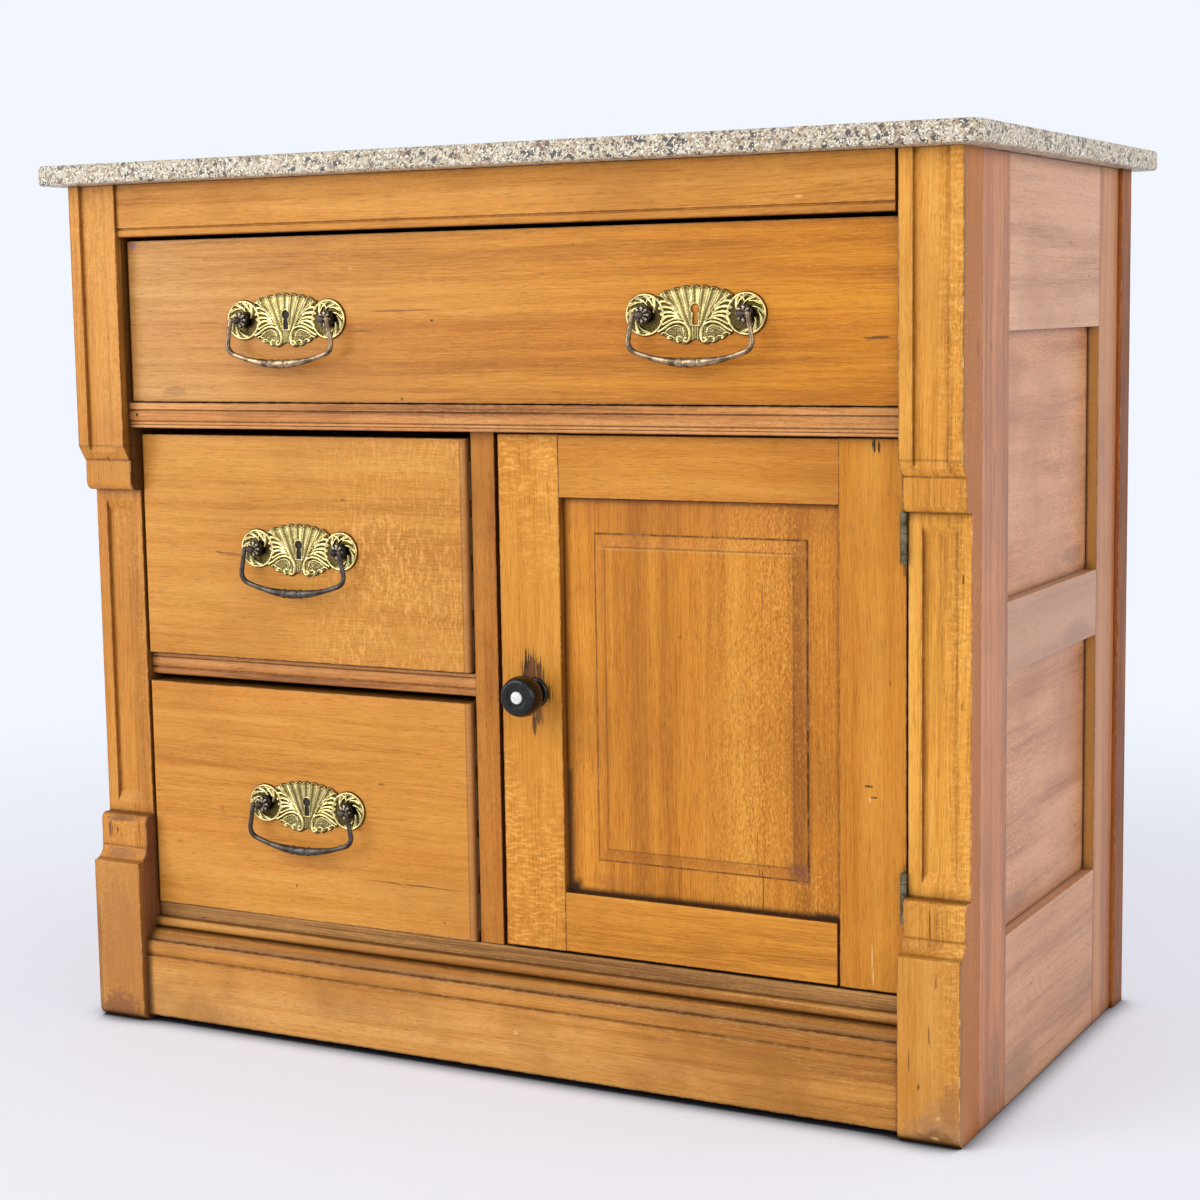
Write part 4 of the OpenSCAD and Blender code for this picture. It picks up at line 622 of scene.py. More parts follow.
WEAR_AND_LIGHT = {
    "door_lock_stile": WearAndLight(streaks=marks(stile_y, 6, [
        (-2, 16, 11, 21, 0.9, SOOT_AND_SHADE), (4, 10, 7, 24, 0.85, SOOT_AND_SHADE), (-7, 12, 5, 22, 0.8, SOOT_AND_SHADE),
        (3, -16, 6, 15, 0.8, SOOT_AND_SHADE), (-1, -21, 3, 14, 0.8, SOOT_AND_SHADE), (3, 0, 18, 13, 0.75, SOOT_AND_SHADE),
    ], knob_at), smudges=marks(stile_y, 6, [
        (-1, 12, 14, 20, 0.35, REDDISH), (2, -12, 10, 18, 0.35, REDDISH),
    ], knob_at), washes=all_over(0.96, 0.95, 0.86)),
    "door_rails": WearAndLight(boxes=[
        ((-1, stile_y + 0.0012, RAIL_LOW - 0.001), (1, 1, RAIL_LOW + 0.001), 0.0009, 1.0, SOOT_AND_SHADE),
        ((lock_right - 0.0004, stile_y - 0.001, 0), (lock_right + 0.0006, 1, 1), 0.0006, 0.7, None),
    # painted light and shade: the lower rail made lighter, the upper rail darker, against the fall of the
    # light towards the bottom
    ], washes=[between(0, RAIL_LOW + 0.1, 1.11, 1.16, 1.20), between(RAIL_LOW + 0.1, 1, 0.93, 0.90, 0.95)]),
    "door_hinge_stile": WearAndLight(streaks=marks(stile_y, 3, [
        (292.0, 120, 1.0, 14, 1.0, CHIP_AND_HIGHLIGHT), (292.6, 105, 0.8, 8, 1.0, CHIP_AND_HIGHLIGHT),
        (289.5, 236.5, 4.5, 1.6, 0.9, NAIL_AND_SHADE), (290.5, 227.0, 1.2, 5.0, 1.0, CHIP_AND_HIGHLIGHT),
        (293.5, 229.0, 4.5, 1.0, 0.9, NAIL_AND_SHADE), (304.9, 307.5, 1.2, 4.0, 0.8, NAIL_AND_SHADE),
        (293.5, 466.0, 1.8, 7.5, 1.0, SOOT_AND_SHADE), (297.5, 465.5, 1.4, 6.0, 0.9, SOOT_AND_SHADE),
    ]), boxes=[
        # painted shadow of the corbel on the door at the upper hinge, and a matching dark patch at the lower
        # hinge
        ((0.3145, stile_y - 0.01, z0), (0.33, stile_y + 0.02, z1), 0.0012, 0.8, None)
        for z0, z1 in ((0.38, 0.43), (0.14, 0.185))
    ], washes=all_over(0.95, 0.90, 0.78)),
    "door_panel": WearAndLight(boxes=slabs([
        (panel_left, panel_foot - 0.006, panel_right, panel_foot + 0.0026, 0.0024, 0.95, SOOT_AND_SHADE),
        (panel_left, panel_foot - 0.006, panel_left + 0.010, panel_foot + 0.0080, 0.0040, 1.0, SOOT_AND_SHADE),
        (panel_right - 0.020, panel_foot - 0.006, panel_right, panel_foot + 0.0040, 0.0030, 1.0, SOOT_AND_SHADE),
        (panel_left - 0.004, panel_foot, panel_left + 0.0040, panel_foot + 0.09, 0.0030, 0.9, GRIME_AND_SHADE),
        (panel_right - 0.002, panel_foot, panel_right, panel_head, 0.0020, 0.6, GRIME_AND_SHADE),
        # painted shade on the right and lower coves of the raised field, which face away from the light, the
        # field's lower right corner darker, and a painted highlight along the inner edge of the top cove
        (field_right - COVE_W, field_foot, field_right, field_head, 0.0030, 0.16, PURPLE),
        (field_left, field_foot, field_right, field_foot + COVE_W, 0.0030, 0.25, REDDISH),
        (field_right - 0.014, field_foot, field_right, field_foot + 0.012, 0.0040, 0.5, PURPLE),
        (field_left + 0.002, field_head - COVE_W - 0.0020, field_right - 0.002, field_head - COVE_W - 0.0006,
         0.0008, 0.20, CHIP_AND_HIGHLIGHT),
        (panel_left, field_head + 0.004, panel_right, panel_head, 0.010, 0.25, REDDISH),
        (panel_left, panel_head - 0.002, panel_right, panel_head, 0.0024, 0.7, GRIME_AND_SHADE),
        (0.2085, panel_foot, 0.2091, panel_foot + 0.030, 0.0006, 1.0, NAIL_AND_SHADE),
        (0.2060, panel_foot + 0.026, 0.2066, panel_foot + 0.058, 0.0006, 0.7, NAIL_AND_SHADE),
        (0.1455, panel_foot, 0.1460, panel_foot + 0.050, 0.0005, 0.6, NAIL_AND_SHADE),
    ]), streaks=marks(FIELD_Y, 10, [
        (211, 360, 1.2, 30, 0.5, SCRATCH), (217, 350, 0.8, 30, 0.4, SCRATCH),
        (102, 365, 10, 40, 0.25, REDDISH),
    ]), smudges=marks(FIELD_Y, 10, [
        (148, 330, 3.0, 1.2, 0.7, NAIL_AND_SHADE), (90, 150, 30, 10, 0.30, REDDISH),
    ]), washes=[
        # painted light: the left border beside the lock stile made paler, against the stile's shadow
        ((-1, -1, -1), (panel_left + 0.022, 1, 1), 0.008, (1.17, 1.20, 1.16)),
        ((panel_left + 0.022, -1, -1), (1, 1, 1), 0.008, (0.97, 0.96, 0.86)),
    ]),
    "waist_rail": WearAndLight(smudges=marks(rail_y, 4, [(-311.0, 482.2, 2.6, 2.6, 1.0, NAIL_AND_SHADE)]),
                       washes=all_over(1.08, 1.12, 1.20)),
    "right_front_post": WearAndLight(streaks=[
        *post_marks([
            (326.5, 0, 58, 1.3, 5, 12, 0.8, NAIL_AND_SHADE), (340.5, 0, 75, 1.3, 5, 10, 0.7, NAIL_AND_SHADE),
            (333, 0, 40, 1.6, 5, 3, 0.9, NAIL_AND_SHADE), (345, 0, 115, 1.1, 12, 13, 0.8, NAIL_AND_SHADE),
            (337, 12, 150, 0.8, 12, 14, 0.7, NAIL_AND_SHADE), (356, 22, 379.4, 1.6, 6, 5, 0.8, NAIL_AND_SHADE),
        ]),
        *side_marks(corner_x, 4, [
            (-167.5, 529, 4.6, 9.5, 1.0, NAIL_AND_SHADE), (-166, 514, 2.4, 38, 0.8, PURPLE),
            (-169, 560, 1.4, 30, 0.4, PURPLE),
        ]),
        *edge_chips(foot_y, (88, 4), (74, 5), (47, 6), (30, 9)),
        *edge_chips(case_y + 0.019, (410, 4), (330, 3), (250, 6), (205, 4)),
        *edge_chips(case_y, (560, 5), (520, 4), (610, 3)),
    ], smudges=post_marks([
        (345, 0, 4, 50, 60, 30, 0.75, DUSTY), (352, 0, 14, 30, 60, 40, 0.5, DUSTY),
        (346, 0, 2, 30, 60, 18, 0.7, GRIME_AND_SHADE), (356, 0, 30, 14, 30, 30, 0.6, STEP_DIRT),
        (347, 0, 20, 3.5, 5, 3, 1.0, CHIP_AND_HIGHLIGHT), (345, 0, 6, 6, 5, 2.2, 1.0, CHIP_AND_HIGHLIGHT),
    ]), boxes=post_wear_and_shade(1), washes=[between(CORBEL_LOW, 1, 1.0, 0.95, 1.0),
                                    between(CAP_TOP, CORBEL_LOW, 1.08, 1.07, 1.10),
                                    between(0, CAP_TOP, 0.96, 0.95, 1.10)]),
    "left_front_post": WearAndLight(streaks=post_marks([
        (-353.5, 12, 152, 3.2, 10, 13, 0.8, PURPLE), (-346.5, 12, 151, 1.2, 10, 4, 0.8, NAIL_AND_SHADE),
        (-338, 10, 449, 1.6, 8, 5, 0.8, NAIL_AND_SHADE), (-360.5, 0, 50, 4, 30, 90, 0.5, PURPLE),
    ]), smudges=post_marks([
        (-341, 0, 0, 40, 50, 40, 0.75, PURPLE), (-341, 0, 60, 40, 60, 110, 0.30, REDDISH),
        (-341, 6, 133.5, 30, 20, 8.5, 0.75, STEP_DIRT), (-341, 14, 160.5, 30, 14, 5, 0.7, PURPLE),
    ]), boxes=post_wear_and_shade(-1)),
    "top_drawer_front": WearAndLight(streaks=marks(drawer_low.y, 8, [
        (-64.0, 559.2, 60, 1.2, 0.6, SCRATCH), (-44.0, 559.0, 18, 1.2, 0.75, SCRATCH),
        (-106.0, 544.8, 17, 1.3, 0.7, SCRATCH), (-120.0, 548.0, 24, 3.0, 0.3, REDDISH),
        (-242.0, 552.0, 14, 1.1, 0.5, SCRATCH), (-290.0, 555.5, 26, 0.9, 0.35, CHIP_AND_HIGHLIGHT),
        (-110.7, 590.0, 2.6, 1.0, 0.6, CHIP_AND_HIGHLIGHT), (-41.5, 579.2, 2.6, 0.9, 0.6, CHIP_AND_HIGHLIGHT),
        (298.0, 537.0, 14, 1.6, 0.7, SOOT_AND_SHADE),
    ]), smudges=marks(drawer_low.y, 8, [
        (-310.0, 611.5, 7.5, 5.5, 0.8, BRUISE), (-274.0, 500.5, 20, 9, 0.30, PURPLE),
        (-41.7, 551.9, 2.6, 1.4, 1.0, NAIL_AND_SHADE), (-68.7, 495.6, 1.8, 2.6, 0.9, NAIL_AND_SHADE),
        (75.0, 603.0, 3.0, 2.0, 0.8, REDDISH),
    ]), boxes=[
        # painted highlight along the rounded right end of the front
        ((drawer_high.x - 0.0034, drawer_low.y - 0.01, 0.0), (1, drawer_low.y + 0.03, 1),
         0.0008, 0.7, ROUNDED_END_HIGHLIGHT),
    # painted reflection: a pale sheen over the left of the front, and its right deeper and more golden,
    # without sheen
    ], washes=[((0.10, -1, 0), (2, 1, 1), 0.18, (1.02, 0.90, 0.36)),
               ((-2, -1, 0), (-0.20, 1, 1), 0.16, (0.93, 1.07, 1.85))]),
    "upper_drawer_front": WearAndLight(streaks=marks(small_y, 8, [
        (-237.0, 375.2, 16, 2.6, 0.85, REDDISH), (-246.0, 376.6, 6, 1.2, 0.7, PURPLE),
    ]), boxes=small_edges(0.4665), washes=all_over(0.95, 0.95, 0.93)),
    "lower_drawer_front": WearAndLight(streaks=marks(small_y, 8, [
        (-72.0, 130.6, 56, 0.8, 0.8, SCRATCH), (-181.8, 119.7, 0.8, 3.0, 0.8, NAIL_AND_SHADE),
        (-250.4, 174.8, 2.2, 3.0, 0.6, REDDISH),
    ]), smudges=marks(small_y, 8, [
        (-293.5, 144.5, 6.0, 2.4, 0.35, PURPLE), (-48.6, 104.7, 2.2, 1.8, 0.8, REDDISH),
        (-170.0, 140.0, 60, 12, 0.25, REDDISH),
    ]), boxes=small_edges(0.2723)),
    "plinth_board": WearAndLight(boxes=[
        # painted shade with the dirt in the moulding's grooves and on its cove
        *across(foot_y, plinth_top.z, [
            (-9.4, -8.0, 0.8, 0.9, None), (-16.5, -12.0, 2.2, 0.35, GRIME_AND_SHADE), (-16.6, -15.4, 0.7, 0.9, None),
            (-28.5, -27.5, 0.7, 0.85, None),
        ]),
        # painted shadow: a black line along the plinth's foot, over the floor
        *across(foot_y, plinth_low.z, [(-10, 0.8, 1.0, 0.9, SOOT_AND_SHADE)]),
        # both ends, beside the feet, darker
        ((-1, foot_y - 0.01, 0), (-0.3135, 1, 0.095), 0.003, 0.75, GRIME_AND_SHADE),
        ((0.3155, foot_y - 0.01, 0), (1, 1, 0.095), 0.002, 0.7, GRIME_AND_SHADE),
    ], smudges=marks(foot_y, 20, [
        (20, 34, 4.5, 3.0, 0.9, CHIP_AND_HIGHLIGHT), (-120, 30, 140, 16, 0.25, STEP_DIRT),
        (-250, 10, 80, 20, 0.35, STEP_DIRT),
    ])),
    "base_rail": WearAndLight(boxes=across(foot_y, 0, [
        # painted shade with the dirt at the rail's recessed line and where it meets the plinth
        (88.8, 90.0, 0.9, 0.5, GRIME_AND_SHADE), (79.0, 82.0, 1.2, 0.45, GRIME_AND_SHADE),
    ]), washes=all_over(1.03, 1.06, 1.16)),
    "right_front_stile": WearAndLight(streaks=side_marks(SIDE_X, 4, [
        (-140.0, 530.0, 2.6, 6.0, 0.6, NAIL_AND_SHADE), (-100.9, 359.4, 1.6, 1.6, 1.0, NAIL_AND_SHADE),
        (-133.0, 445.0, 4.0, 30, 0.5, PURPLE), (-125.0, 30.0, 25, 60, 0.45, GRIME_AND_SHADE),
    ]), boxes=[((0.35, -0.1600, 0), (0.37, -0.1586, case_top), 0.0012, 0.7, None)]),
    "right_back_stile": WearAndLight(boxes=[
        # painted highlight on the stile's lit front edge, golden, and painted shade in the corner where it
        # meets the panel
        ((0.3505, -1, 0.12), (0.3614, back_stile_y + 0.0006, 0.55), 0.0008, 0.95, GOLDEN_HIGHLIGHT),
        ((0.3500, -1, 0.12), (0.3545, back_stile_y + 0.0006, 0.55), 0.0010, 0.85, NAIL_AND_SHADE),
    ], washes=all_over(0.90, 0.97, 1.05)),
    "right_side_rails": WearAndLight(smudges=side_marks(SIDE_X, 10, [
        (60, 315, 60, 18, 0.4, PURPLE), (-80, 20, 80, 30, 0.35, GRIME_AND_SHADE),
    # painted sheen and shade: the middle rail duller, the top rail paler and bluer, the bottom rail a little
    # paler
    ]), boxes=[((0.3, -1, 0.29), (1, 1, 0.37), 0.002, 0.48, DULL)],
        washes=[((0.3, -1, 0.53), (1, 1, 1), 0.002, (1.05, 1.16, 1.35)),
                ((0.3, -1, -1), (1, 1, 0.20), 0.002, (1.0, 1.05, 1.09))]),
    "right_side_panels": WearAndLight(streaks=side_marks(SUNK_X, 4, [
        (30, 475, 50, 1.0, 0.35, PURPLE), (0, 445, 40, 1.0, 0.35, PURPLE), (50, 430, 50, 1.0, 0.30, PURPLE),
    ]), smudges=side_marks(SUNK_X, 10, [
        (80, 370, 50, 14, 0.35, PURPLE), (-60, 135, 60, 14, 0.35, PURPLE),
    ])),
}

# Node, its tones, its grain, and what differs from the usual figure
SIDEWAYS = dict(face=SIDE_FACE, gloss=0.45, pore=0.3)
SIDE_STILE = dict(fleck=0.1, band=0.7, **SIDEWAYS)
SIDE_RAIL = dict(fleck=0.4, swell=0.25, **SIDEWAYS)
SUNK_PANEL = dict(fleck=0.8, stain=0.25, swell=0.6, **SIDEWAYS)
RIGHT_BAND = ((post_high.x - 0.0140, -1, 0), (1, 1, 1), 0.013)
UPPER_RIPPLE = ((-0.15, -1, 0), (1, 1, 1), 0.05)
RAYED_PANEL = dict(
    fleck=1.0, pore=0.34, dirt_and_shade=0.5, figured=((panel_left + 0.120, -1, 0), (1, 1, 1), 0.03),
    # grime and painted shade along the frame's edge, where the frame shades the panel, then painted shade
    # lines at the field's step and at the inner edge of its cove
    lines=[(panel_tongue, 0.006, 0.4, None), (panel_tongue, 0.0018, 0.95, None),
           (panel_tongue + FIELD_EDGE, 0.0012, 0.9, None),
           (panel_tongue + FIELD_EDGE + COVE_W, 0.0010, 0.6, None)],
    bands=[(panel_left + x, wide, strength) for x, wide, strength in (
        (0.002, 0.014, 0.10), (0.062, 0.011, 0.6), (0.083, 0.009, 0.5), (0.118, 0.010, 0.25),
        (0.183, 0.012, 0.55))])
WOODEN = [
    ("left_front_post", FRONT, "z", dict(fleck=0.35, curl=0.3)),
    ("right_front_post", UPRIGHT, "z", dict(fleck=0.8, curl=0.9, band=0.6, figured=RIGHT_BAND)),
    ("frieze_rail", FRONT, "x", dict(fleck=0.15)),
    ("base_rail", BASE, "x", dict(band=0.8, stain=0.3, dirt_and_shade=0.6)),
    ("plinth_board", PLINTH, "x", dict(band=0.8, stain=0.4)),
    ("waist_rail", RAIL, "x", dict(band=0.9, stain=0.3)),
    ("drawer_rail", RAIL, "x", dict(band=0.9, stain=0.3)),
    ("centre_stile", STILE, "z", dict(band=1.0, stain=0.3)),
    ("top_drawer_front", DRAWER, "x", dict(fleck=0.15, band=0.6, gloss=0.2)),
    ("upper_drawer_front", DRAWER, "x", dict(fleck=0.6, curl=0.9, figured=UPPER_RIPPLE)),
    ("lower_drawer_front", DRAWER, "x", dict(fleck=0.2, band=0.6)),
    ("door_lock_stile", LOCK, "z", dict(curl=0.9, band=0.4)),
    ("door_hinge_stile", DOOR, "z", dict(fleck=0.1, band=0.6)),
    ("door_rails", DOOR, "x", dict(fleck=0.2, band=0.6)),
    ("door_panel", PANEL, "z", RAYED_PANEL),
    ("right_front_stile", SIDE, "z", SIDE_STILE),
    ("left_front_stile", SIDE, "z", SIDE_STILE),
    ("right_back_stile", SIDE, "z", dict(SIDE_STILE, dirt_and_shade=0.45)),
    ("left_back_stile", SIDE, "z", SIDE_STILE),
    ("right_side_rails", SIDE_PANEL, "y", SIDE_RAIL),
    ("left_side_rails", SIDE_PANEL, "y", SIDE_RAIL),
    ("right_side_panels", SIDE_PANEL, "y", SUNK_PANEL),
    ("left_side_panels", SIDE_PANEL, "y", SUNK_PANEL),
    ("back_strips", STRIP, "z", dict(band=0.6, stain=0.3, gloss=0.06)),
]
BARE_WOOD = {
    "x": ["dust_board", "cupboard_floor", "back_boards", "back_top_rail", "stop_blocks", "top_drawer_back",
          "top_drawer_bottom", "upper_drawer_back", "upper_drawer_bottom", "lower_drawer_back",
          "lower_drawer_bottom"],
    "y": ["partition", "drawer_runners", "top_drawer_sides", "upper_drawer_sides", "lower_drawer_sides"],
}
WOODEN += [(node, INSIDE, way, dict(raw=True, rim=0.3, band=0.9))
           for way, nodes in BARE_WOOD.items() for node in nodes]


def dress(name, material):
    """Gives a CAD node its material in every slot."""
    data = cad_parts[name].data
    data.materials.clear()
    data.materials.append(material)


def soften(name, width, segments=3):
    """Rounds the sharp edges of a CAD node with modifiers, its own mesh left as it is."""
    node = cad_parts[name]
    weld = node.modifiers.new("weld", "WELD")
    weld.merge_threshold = 2e-6
    plain = node.modifiers.new("plain", "DECIMATE")
    plain.decimate_type = "DISSOLVE"
    plain.angle_limit = math.radians(0.5)
    bevel = node.modifiers.new("bevel", "BEVEL")
    bevel.width = width
    bevel.segments = segments
    bevel.limit_method = "ANGLE"
    bevel.angle_limit = math.radians(32)
    bevel.use_clamp_overlap = True
    bevel.harden_normals = False
    normals = node.modifiers.new("normals", "WEIGHTED_NORMAL")
    normals.keep_sharp = True


for seed, (name, tones, grain, figure) in enumerate(WOODEN, 1):
    wear_and_light = WEAR_AND_LIGHT.get(name, WearAndLight())
    dress(name, wood(name + "_wood", tones, grain, seed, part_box(name), wear_and_light=wear_and_light, **figure))
    soften(name, (1.1 if "post" in name else 0.7) * MM)

dress("stone_top", granite())
soften("stone_top", 1.2 * MM)

BRASS = metal("old_brass", (0.90, 0.76, 0.34), (0.20, 0.145, 0.042), 0.24, (0.014, 0.010, 0.004), relief=True)
COPPER = metal("copper_wash", (0.38, 0.27, 0.165), (0.062, 0.042, 0.028), 0.28, (0.02, 0.013, 0.010),
               patch=0.85)
IRON = metal("dark_iron", (0.11, 0.092, 0.078), (0.03, 0.025, 0.022), 0.38, (0.010, 0.008, 0.007), patch=0.8)
STEEL = metal("hinge_steel", (0.19, 0.175, 0.105), (0.055, 0.046, 0.028), 0.58, (0.010, 0.008, 0.006),
              patch=0.8)
for name in ("hinge_frame_leaves", "hinge_door_leaves", "hinge_pins", "frame_screws", "door_screws"):
    dress(name, STEEL)
dress("door_latch", IRON)
EBONY = ebony()
for name in ("door_knob", "knob_rose"):
    dress(name, EBONY)
    soften(name, 0.4 * MM)
dress("knob_stud", porcelain())

# Drawer pulls, in millimetres about the middle of the line through their posts

BORING = 76.2
POST = BORING / 2
LOBE_R = 15.0
FAN_H = 20.0
FAN_SIDE_H = 14.7
FAN_HALF = POST - 10.0
FLUTE = math.radians(10.6)
SCALLOP = 2.0
SCROLL_H = 20.5
SCROLL_MEET = 2.0
SCROLL_NOTCH = 3.5
LUMP = 1.3
LUMP_W = 6.6
LUMP_AT = 7.5
KEY_R = 3.3
KEY_L = 14.0
KEY_SLOT = 4.2
FOCUS = -20.0
COLUMNS = 340
ROWS = 124


def smooth(x):
    x = np.clip(x, 0.0, 1.0)
    return x * x * (3 - 2 * x)


def lobe_edge(a):
    return np.sqrt(np.maximum(LOBE_R**2 - (a - POST) ** 2, 0.0))


def plate_top(a):
    share = a / FAN_HALF
    fan = FAN_SIDE_H + (FAN_H - FAN_SIDE_H) * (1 - share**2)
    turn = np.arctan2(a, fan - FOCUS)
    fan = fan - SCALLOP * (1 - np.abs(np.cos(math.pi * turn / FLUTE)) ** 0.7)
    return np.where(a < FAN_HALF, fan, lobe_edge(a))


def plate_low(a):
    share = a / FAN_HALF
    start = SCROLL_MEET - LOBE_R
    turn = np.minimum(np.radians(120) * (1 - share), math.pi / 2)
    scroll = start - (start + SCROLL_H) * np.sin(turn)
    scroll = scroll + SCROLL_NOTCH * np.maximum(1 - 4 * share, 0.0)
    lumps = LUMP * (1 - np.abs(np.cos(math.pi * (a - LUMP_AT) / LUMP_W)) ** 0.6)
    scroll = scroll + lumps * smooth((a - LUMP_AT) / 3) * smooth((FAN_HALF - a) / 2)
    return np.where(a < FAN_HALF, scroll, -lobe_edge(a))


def to_line(a, v, line):
    """Distance of points (a, v) to a polyline, and how far along it, from 0 to 1, they are nearest."""
    best = np.full(a.shape, 1e9)
    where = np.zeros(a.shape)
    steps = len(line) - 1
    for i in range(steps):
        (x0, y0), (x1, y1) = line[i], line[i + 1]
        dx, dy = x1 - x0, y1 - y0
        t = np.clip(((a - x0) * dx + (v - y0) * dy) / (dx * dx + dy * dy), 0, 1)
        d = np.hypot(a - x0 - t * dx, v - y0 - t * dy)
        closer = d < best
        best = np.where(closer, d, best)
        where = np.where(closer, (i + t) / steps, where)
    return best, where


def curve(points, count=24):
    """A smooth line through a few chosen points."""
    p = np.array([points[0], *points, points[-1]], float)
    line = []
    for i in range(1, len(p) - 2):
        for t in np.linspace(0, 1, max(2, count // (len(points) - 1)), endpoint=False):
            line.append(0.5 * (2 * p[i] + (p[i + 1] - p[i - 1]) * t
                               + (2 * p[i - 1] - 5 * p[i] + 4 * p[i + 1] - p[i + 2]) * t**2
                               + (3 * p[i] - p[i - 1] - 3 * p[i + 1] + p[i + 2]) * t**3))
    line.append(p[-2])
    return line


# Raised strokes of the scrolls and leaves on the right half: points, width at both ends, height
STROKES = [
    ([(7.2, -15.6), (8.4, -17.6), (6.4, -18.6), (4.5, -16.6), (4.3, -12.0), (6.6, -7.2), (12.0, -5.0),
      (18.0, -6.0), (23.5, -9.4), (29.5, -12.4)], 0.9, 1.0, 2.1),
    ([(8.6, -13.0), (9.4, -9.6), (13.0, -7.4), (18.0, -8.6), (22.5, -11.6)], 0.5, 0.6, 1.0),
    ([(24.6, -15.8), (25.6, -13.4), (23.4, -12.2), (20.8, -13.6)], 0.9, 0.6, 1.4),
    ([(19.6, -18.0), (20.6, -15.6), (18.4, -14.4), (16.0, -15.6)], 0.9, 0.6, 1.4),
    ([(13.4, -18.8), (14.2, -16.4), (12.0, -15.0), (10.2, -15.8)], 0.9, 0.6, 1.3),
    ([(9.4, -3.6), (16.0, -3.0), (24.6, -6.8)], 0.6, 1.0, 1.2),
    ([(11.0, -2.6), (17.0, -1.0), (22.0, -1.6), (24.6, -3.6)], 0.7, 1.5, 1.5),
    ([(12.0, -1.0), (17.0, 1.2), (22.5, 1.6), (25.6, 0.2)], 0.7, 1.5, 1.6),
    ([(13.0, 0.8), (18.0, 4.2), (23.0, 5.2), (26.6, 4.2)], 0.7, 1.5, 1.6),
    ([(15.0, 3.6), (19.6, 7.4), (24.0, 8.8), (27.4, 8.2)], 0.6, 1.2, 1.4),
    ([(29.2, 13.6), (22.4, 11.2), (15.0, 4.8), (9.0, -2.6), (5.2, -10.0)], 0.8, 0.6, 2.0),
    ([(28.6, 12.6), (32.0, 12.2), (35.4, 10.6), (36.6, 8.4)], 0.9, 0.6, 1.5),
]
BEADS = [(7.2, -15.9, 1.5), (25.2, -14.4, 1.1), (20.0, -16.6, 1.1), (13.8, -17.2, 1.1), (25.8, -4.4, 1.0)]
LEAF_TURNS = (122, 92, 62, 32, 2, -30, -66, -104)
VEIN = 0.32


def lobe_strokes():
    """Leaf tips that curl in from the rim of a round end."""
    strokes = []
    for i, degrees in enumerate(LEAF_TURNS):
        depth = 4.4 if i % 2 else 6.2
        points = []
        for share in (0.0, 0.35, 0.7, 1.0):
            turn = math.radians(degrees + 44 * share**1.3)
            radius = 12.9 - depth * share
            points.append((POST + radius * math.cos(turn), radius * math.sin(turn)))
        strokes.append((points, 1.55, 0.5, 1.55))
    return strokes


def keyhole_gap(u, v):
    """How far a point lies outside the keyhole, negative inside it."""
    head = np.hypot(u, v - (KEY_L / 2 - KEY_R)) - KEY_R
    mid = -KEY_R / 2
    half = (KEY_L - KEY_R) / 2
    slot = np.maximum(np.abs(u) - KEY_SLOT / 2, np.abs(v - mid) - half)
    return np.minimum(head, slot)


def arch(d, w):
    """Half-round section of a stroke of half width w at distance d from its middle."""
    return np.sqrt(np.maximum(1 - (d / w) ** 2, 0))


def plate_height(u, v):
    """Height of the stamped relief over the drawer front."""
    a = np.abs(u)
    r = np.hypot(a - POST, v)
    edge = np.minimum(plate_top(a) - v, v - plate_low(a))
    edge = np.where(a > POST, np.minimum(edge, LOBE_R - r), edge)
    h = np.full(u.shape, 0.6)
    lobe = smooth((LOBE_R - r) / 0.5)
    h = np.maximum(h, lobe * (0.6 + 1.5 * arch(r - 13.8, 1.05)))
    h = np.maximum(h, smooth((a - POST + 8) / 8) * (0.6 + 0.7 * arch(r - 12.1, 0.45)))
    radius = np.hypot(a, v - FOCUS)
    turn = np.arctan2(a, v - FOCUS)
    rib = np.abs((turn / FLUTE + 0.5) % 1.0 - 0.5)
    ridge = np.exp(-(((0.5 - rib) / 0.11) ** 2)) + 0.55 * np.exp(-(((0.5 - rib - 0.26) / 0.07) ** 2))
    tip = smooth((edge - 0.7) / 1.2)
    flute = 0.15 + 1.25 * ridge - 0.35 * (1 - smooth((edge - 1.0) / 3.2)) * (rib < 0.36)
    border = 13.0 - 0.62 * (28 - a) - 0.012 * (28 - a) ** 2
    fan = smooth((v - border + 0.9) / 1.2) * smooth((radius - 9) / 4) * (a < FAN_HALF)
    h = np.maximum(h, fan * (0.75 + flute * (0.6 + 0.4 * smooth((radius - 12) / 16)) + 0.5 * (1 - tip)))
    stem = smooth((3.5 - a) / 0.5) * smooth((-6.8 - v) / 1.0)
    h = np.maximum(h, stem * (1.0 + 0.5 * np.cos(2 * math.pi * a / 1.7)))
    grains = np.sin(2.6 * a + 1.7 * np.sin(2.1 * v)) * np.sin(2.9 * v + 1.9 * np.sin(1.9 * a))
    rock = smooth((a - 5) / 2) * smooth((24 - a) / 3) * smooth((-7.5 - v) / 1.5)
    h = h + rock * 1.25 * np.abs(grains)
    for points, w0, w1, height in STROKES + lobe_strokes():
        d, where = to_line(a, v, curve(points))
        w = w0 + (w1 - w0) * where
        vein = 0.45 * np.exp(-((d / VEIN) ** 2)) * smooth((w - 0.85) / 0.4)
        h = np.maximum(h, 0.6 + height * arch(d, w) - vein * height)
    for x, z, size in BEADS:
        h = np.maximum(h, 0.7 + 1.3 * size * arch(np.hypot(a - x, v - z), size))
    rim = keyhole_gap(u, v)
    h = np.where(rim < 1.1, np.maximum(h * 0.8, 1.5 * arch(rim - 0.5, 0.65)), h)
    grit = np.sin(u * 5.1 + 2 * np.sin(v * 3.3)) * np.sin(v * 5.7 + 2 * np.sin(u * 2.9))
    h = h + 0.10 * grit * (h < 1.0)
    return 0.15 + (h - 0.15) * np.sqrt(smooth(edge / 0.9))


